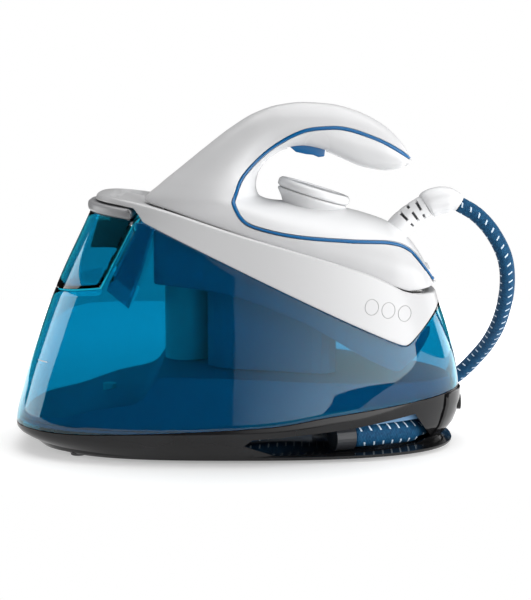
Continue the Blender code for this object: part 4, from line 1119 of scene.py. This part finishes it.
def build_shell(name, node, outside):
    """One of the two shells: an arch over the outside or the inside of the C."""
    count = 2 * SHELL_COLUMNS
    vertices = []
    for _, row, high, low, _ in GRID:
        u = np.sin(np.linspace(0, 1, SHELL_COLUMNS) * math.pi / 2)
        v = high + (1 - high) * u if outside else low * (1 - u)
        along, width = shell_points(row, v)
        near = np.stack([along[:, 0], -width, along[:, 1]], axis=1)
        far = np.stack([along[:, 0], width, along[:, 1]], axis=1)
        vertices.append(np.concatenate([near, far[::-1]]))
    faces = []
    for r in range(len(GRID) - 1):
        for i in range(count - 1):
            bridge = i == SHELL_COLUMNS - 1
            if bridge and outside and GRID[r][0] >= FIRST_OPEN_STATION:
                continue
            a, b = r * count, (r + 1) * count
            faces.append((a + i, a + i + 1, b + i + 1, b + i))
    mesh = new_mesh(name, np.concatenate(vertices), faces)
    bm = bmesh.new()
    bm.from_mesh(mesh)
    bmesh.ops.remove_doubles(bm, verts=bm.verts, dist=2e-5)
    bmesh.ops.dissolve_degenerate(bm, edges=bm.edges, dist=1e-6)
    bmesh.ops.recalc_face_normals(bm, faces=bm.faces)
    centre = Vector((0.05, 0.0, 0.235))
    outward = sum((f.calc_center_median() - centre).dot(f.normal) * f.calc_area() for f in bm.faces)
    if outside and outward < 0:
        bmesh.ops.reverse_faces(bm, faces=bm.faces)
    bm.to_mesh(mesh)
    bm.free()
    obj = linked(name, mesh)
    if not outside:
        crest = Vector((0.115, 0.0, 0.2055))
        top = min(mesh.polygons, key=lambda f: sum(abs(c) for c in f.center - crest))
        if top.normal.z < 0:
            mesh.flip_normals()
    thick = obj.modifiers.new("wall", "SOLIDIFY")
    thick.thickness = SHELL_WALL
    thick.offset = -1.0
    thick.use_rim = True
    bpy.context.view_layer.update()
    apply_all(obj)
    return stand_in(obj, node)


def build_trim(name, node, sign):
    """Raised blue bead along the gap between the two shells."""
    centre, across = [], []
    for _, row, high, low, middle in GRID:
        v = np.array([low, middle, high])
        along, width = shell_points(row, v)
        points = np.stack([along[:, 0], sign * width, along[:, 1]], axis=1)
        centre.append(points[1])
        across.append(points[2] - points[0])
    centre, across = np.array(centre), unit(np.array(across))
    out = unit(np.cross(unit(np.gradient(centre, axis=0)), across))
    flip = np.sign(out[:, 1] * sign)
    out *= np.where(flip == 0, 1, flip)[:, None]
    turn = np.linspace(0, 2 * math.pi, 14, endpoint=False)
    rings = []
    for i in range(9, len(GRID) - 5):
        ring = (centre[i] - out[i] * 0.0004 + np.outer(np.cos(turn) * TRIM_HALF, across[i])
                + np.outer(np.sin(turn) * 0.0011, out[i]))
        ring[:, 1] = sign * np.maximum(sign * ring[:, 1], 0.0003)
        rings.append(ring)
    stand_in(lofted(name, rings, angle=60.0), node)


def dial_axis():
    return Vector((math.sin(DIAL_TILT), 0, math.cos(DIAL_TILT)))


def dial_point(height):
    return Vector((DIAL_CENTRE[0], 0, DIAL_CENTRE[1])) + dial_axis() * (height - DIAL_THICKNESS / 2)


def build_dial():
    r, t = DIAL_RADIUS, DIAL_THICKNESS
    profile = [(0.0043, 0.0)] + softened(((0.0050, 0.0), (r - 0.0016, 0.0), (r, 0.0016),
                                          (r, t - 0.0022), (r - 0.0022, t), (r * 0.78, t),
                                          (r * 0.74, t - 0.0009), (0.0003, t - 0.0004)), 0.0009)
    profile += [(0.0003, 0.0055), (0.0043, 0.0055)]
    stand_in(turned("dial_knob", profile, dial_point(0.0), dial_axis(), 120, wrap=True), "dial")
    bowl = softened(((0.0057, -0.0004), (0.0300, -0.0004), (0.0320, -0.0014), (0.0312, -0.0034),
                     (0.0268, -0.0084), (0.0228, -0.0150), (0.0205, -0.0240), (0.0057, -0.0240),
                     (0.0057, -0.0004)), 0.0016)
    stand_in(turned("dial_bezel_bowl", bowl[:-1], dial_point(0.0), dial_axis(), 120, wrap=True),
             "dial_bezel")


def build_trigger():
    outline = ((0.0445, 0.2655), (0.0500, 0.2608), (0.0590, 0.2588), (0.0650, 0.2582),
               (0.0700, 0.2562), (0.0752, 0.2568), (0.0760, 0.2650), (0.0745, 0.2690),
               (0.0445, 0.2705))
    made = prism("trigger_key", outline, -TRIGGER_HALF_WIDTH, TRIGGER_HALF_WIDTH)
    cut(made, peg("pin", (0.0475, -0.010, 0.2675), (0.0475, 0.010, 0.2675), 0.0015, 0.0002, 24))
    bevelled(made, 0.0009)
    stand_in(made, "trigger")


def iron_point(along, across, height):
    cosine, sine = math.cos(SOLE_TILT), math.sin(SOLE_TILT)
    return (along * cosine + height * sine, across, SOLE_HEIGHT - along * sine + height * cosine)


def build_soleplate():
    cosine, sine = math.cos(SOLE_TILT), math.sin(SOLE_TILT)
    knots = [(x * cosine - (z - SOLE_HEIGHT) * sine, end)
             for _, _, x, z, _, _, end, _ in STATIONS[FIRST_OPEN_STATION:]]
    first, last, inset = -0.081, 0.1665, 0.0029
    rings = []
    for height, back in ((0.0, 0.0008), (0.0002, 0.0003), (0.0008, 0.0), (SOLE_THICKNESS, 0.0)):
        near, far = [], []
        for k in range(73):
            s = first + (last - first) * (1 - math.cos(math.pi * k / 72)) / 2
            half = max(interpolate(knots, s) - inset - back, 0.0012)
            s = min(max(s, first + back), last - back)
            near.append(iron_point(s, -half, height))
            far.append(iron_point(s, half, height))
        rings.append(near + far[::-1])
    stand_in(lofted("soleplate_face", rings), "soleplate")


def build_boot():
    route = [(x, 0.0, z, r) for x, z, r in BOOT_ROUTE]
    fine = smooth_curve(route, 110)
    path, radii = fine[:, :3], fine[:, 3]
    length = float(step_lengths(path).sum())
    rows = (length * 0.50, length * 0.68, length * 0.86)

    def shape(travelled, turn, radius):
        made = np.full(len(turn), radius)
        for k, middle in enumerate(rows):
            if abs(travelled - middle) < 0.0011:
                open_part = np.mod(turn / (2 * math.pi) * 4 + 0.5 * (k % 2), 1.0)
                made = np.where(open_part < 0.70, radius - 0.0018, made)
        return made

    sides = 96
    boot = sweep("hose_boot_sleeve", path, radii, sides, shape=shape)
    # The slots' sunk faces take the dark plastic: painted shade in the boot's openings.
    for finish in ("white_plastic", "dark_plastic"):
        boot.data.materials.append(LOOKS[finish].made)
    sunk = np.array([np.linalg.norm(np.array(v.co) - path[min(n // sides, len(path) - 1)])
                     < radii[min(n // sides, len(path) - 1)] - 0.0009
                     for n, v in enumerate(boot.data.vertices)])
    for face in boot.data.polygons:
        if all(sunk[v] for v in face.vertices) and len(face.vertices) == 4:
            face.material_index = 1
    place(boot, "hose_boot")
    ferrule = smooth_curve([(x, 0.0, z, r) for x, z, r in FERRULE_ROUTE], 60)
    made = sweep("boot_ferrule_collar", ferrule[:, :3], ferrule[:, 3], 64)
    stand_in(made, "boot_ferrule")


def near_side(x, z):
    """Point on the body's near side at (x, z), a hair outside it."""
    z = np.array([z])
    reach = rear_profile(z)[0] if x >= 0 else -front_profile(z)[0]
    power = rear_power(z)[0] if x >= 0 else FRONT_POWER
    return (x, -width_profile(z)[0] * (1 - abs(x / reach) ** power) ** (1 / power) - 0.0001, z[0])


def build_mark(name, points, radius, look, body):
    mark = sweep(name, points, np.full(len(points), radius), 8)
    mark.data.materials.append(LOOKS[look].made)
    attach(mark, body)


RING_PLACES = ((0.1130, 0.1335), (0.1275, 0.1300), (0.1420, 0.1262))
RING_REACH, RING_RISE = 0.0058, 0.0066
LEVEL_SPAN, LEVEL_Z = (-0.1735, -0.1645), 0.0835
BUTTON_FACE_X = 0.2001
ARC_RADIUS, ARC_HALF = 0.0028, math.radians(145)
BAR_SPAN = (0.0010, 0.0036)
THIN_MARK, LEVEL_MARK = 0.00025, 0.0004


def build_marks():
    """Plain printed rings on the deck's band, the tank's level line and the power mark."""
    for k, (x, z) in enumerate(RING_PLACES):
        ring = [near_side(x + RING_REACH * math.cos(a), z + RING_RISE * math.sin(a))
                for a in np.linspace(0, 2 * math.pi, 64)]
        build_mark(f"deck_ring_{k + 1}", ring, THIN_MARK, "grip_shade_and_ring_print", "station")
    level = [near_side(x, LEVEL_Z) for x in np.linspace(*LEVEL_SPAN, 12)]
    build_mark("level_line", level, LEVEL_MARK, "white_plastic", "station")
    arc = [(BUTTON_FACE_X, ARC_RADIUS * math.sin(a), BUTTON_Z - ARC_RADIUS * math.cos(a))
           for a in np.linspace(-ARC_HALF, ARC_HALF, 40)]
    build_mark("power_arc", arc, THIN_MARK, "white_plastic", "button")
    bar = [(BUTTON_FACE_X, 0.0, BUTTON_Z + h) for h in np.linspace(*BAR_SPAN, 8)]
    build_mark("power_bar", bar, THIN_MARK, "white_plastic", "button")


build_marks()
build_shell("outer_shell_skin", "outer_shell", True)
inner = build_shell("inner_shell_skin", "inner_shell", False)
cut(inner, block("gap", (0.0425, -0.0085, 0.2450), (0.0775, 0.0085, 0.2740)))
build_trim("trim_near_bead", "trim_near", -1)
build_trim("trim_far_bead", "trim_far", 1)
build_dial()
build_trigger()
build_soleplate()
build_boot()

# ---------------------------------------------------------------- floor, world and lights

FLOOR_CORNERS = ((-1.0, -0.19, 0), (1.0, -0.19, 0), (1.0, 0.9, 0), (-1.0, 0.9, 0))
ground = finished("floor", new_mesh("floor", FLOOR_CORNERS, [(0, 1, 2, 3)]), 40.0, MERGE)
# The floor's glow is weaker near the station than far from it: a painted contact shadow round the
# station.
FLOOR_GLOW = (0.30, 1.0)            # emission, growing with the distance from the origin
FLOOR_GLOW_REACH = (0.08, 0.62)     # distances between which it grows
paper = Look("paper", (0.70, 0.70, 0.70), 0.9)
paper.shader.inputs["Emission Color"].default_value = (1, 1, 1, 1)
paper.shader.inputs["Specular IOR Level"].default_value = 0.0
paper.vary_roughness(paper.noise(3.0), 0.85, 0.95)
distance = paper.node("ShaderNodeVectorMath", operation="LENGTH")
paper.link(paper.place(), distance.inputs[0])
paper.link(paper.ranged(distance.outputs["Value"], *FLOOR_GLOW, *FLOOR_GLOW_REACH),
           paper.shader.inputs["Emission Strength"])
ground.data.materials.append(paper.made)

scene = bpy.context.scene
world = bpy.data.worlds.new("studio")
scene.world = world
world.use_nodes = True
tree = world.node_tree
tree.nodes.clear()
path_info = tree.nodes.new("ShaderNodeLightPath")
output = tree.nodes.new("ShaderNodeOutputWorld")


def backdrop(strength):
    made = tree.nodes.new("ShaderNodeBackground")
    made.inputs["Color"].default_value = (1, 1, 1, 1)
    made.inputs["Strength"].default_value = strength
    return made.outputs[0]


def chosen(factor, off, on):
    made = tree.nodes.new("ShaderNodeMixShader")
    tree.links.new(factor, made.inputs[0])
    tree.links.new(off, made.inputs[1])
    tree.links.new(on, made.inputs[2])
    return made.outputs[0]


shown = chosen(path_info.outputs["Is Diffuse Ray"], backdrop(1.0), backdrop(0.18))
shown = chosen(path_info.outputs["Is Glossy Ray"], shown, backdrop(0.015))
shown = chosen(path_info.outputs["Is Transmission Ray"], shown, backdrop(1.0))
tree.links.new(shown, output.inputs["Surface"])
scene.view_settings.view_transform = "Standard"


def softbox(name, place_at, aim, width, height, radiance):
    """Rectangular lamp of the given radiance, which the camera itself doesn't see."""
    lamp = bpy.data.lights.new(name, "AREA")
    lamp.shape = "RECTANGLE"
    lamp.size, lamp.size_y = width, height
    lamp.energy = radiance * math.pi * width * height
    made = linked(name, lamp)
    made.location = place_at
    made.rotation_euler = (Vector(aim) - Vector(place_at)).to_track_quat("-Z", "Y").to_euler()
    made.visible_camera = False
    return made


def around(name, azimuths, heights, radiances, distance=1.7):
    """Softbox between two azimuths round the station, 0 being the camera's side. Its radiance
    changes evenly from its first edge to its last one."""
    middle = math.radians(sum(azimuths) / 2)
    half = math.radians(abs(azimuths[1] - azimuths[0]) / 2)
    place_at = (distance * math.sin(middle), -distance * math.cos(middle), sum(heights) / 2)
    made = softbox(name, place_at, (0.0, 0.0, place_at[2]), 2 * distance * math.tan(half),
                   heights[1] - heights[0], 1.0)
    made.data.use_nodes = True
    nodes, links = made.data.node_tree.nodes, made.data.node_tree.links
    geometry = nodes.new("ShaderNodeNewGeometry")
    split = nodes.new("ShaderNodeSeparateXYZ")
    spread = nodes.new("ShaderNodeMapRange")
    spread.inputs["To Min"].default_value = radiances[0]
    spread.inputs["To Max"].default_value = radiances[1]
    links.new(geometry.outputs["Parametric"], split.inputs["Vector"])
    links.new(split.outputs["X"], spread.inputs["Value"])
    links.new(spread.outputs["Result"], nodes["Emission"].inputs["Strength"])


FRONT_HEIGHTS = (-0.40, 1.00)
around("front_panel", (-1.2, 14.0), FRONT_HEIGHTS, (0.5, 1.5))
around("front_right_panel", (14.0, 32.0), FRONT_HEIGHTS, (1.5, 3.0))
around("right_panel", (32.0, 76.0), FRONT_HEIGHTS, (3.0, 5.4))
around("back_right_panel", (114.0, 140.0), (-0.10, 0.90), (2.0, 3.0))
softbox("side_left", (-1.6, 0.35, 0.26), (-0.1, 0.0, 0.10), 1.10, 0.72, 3.2)
softbox("overhead", (0.1, 0.1, 1.7), (0.0, 0.0, 0.0), 2.2, 1.8, 2.1)
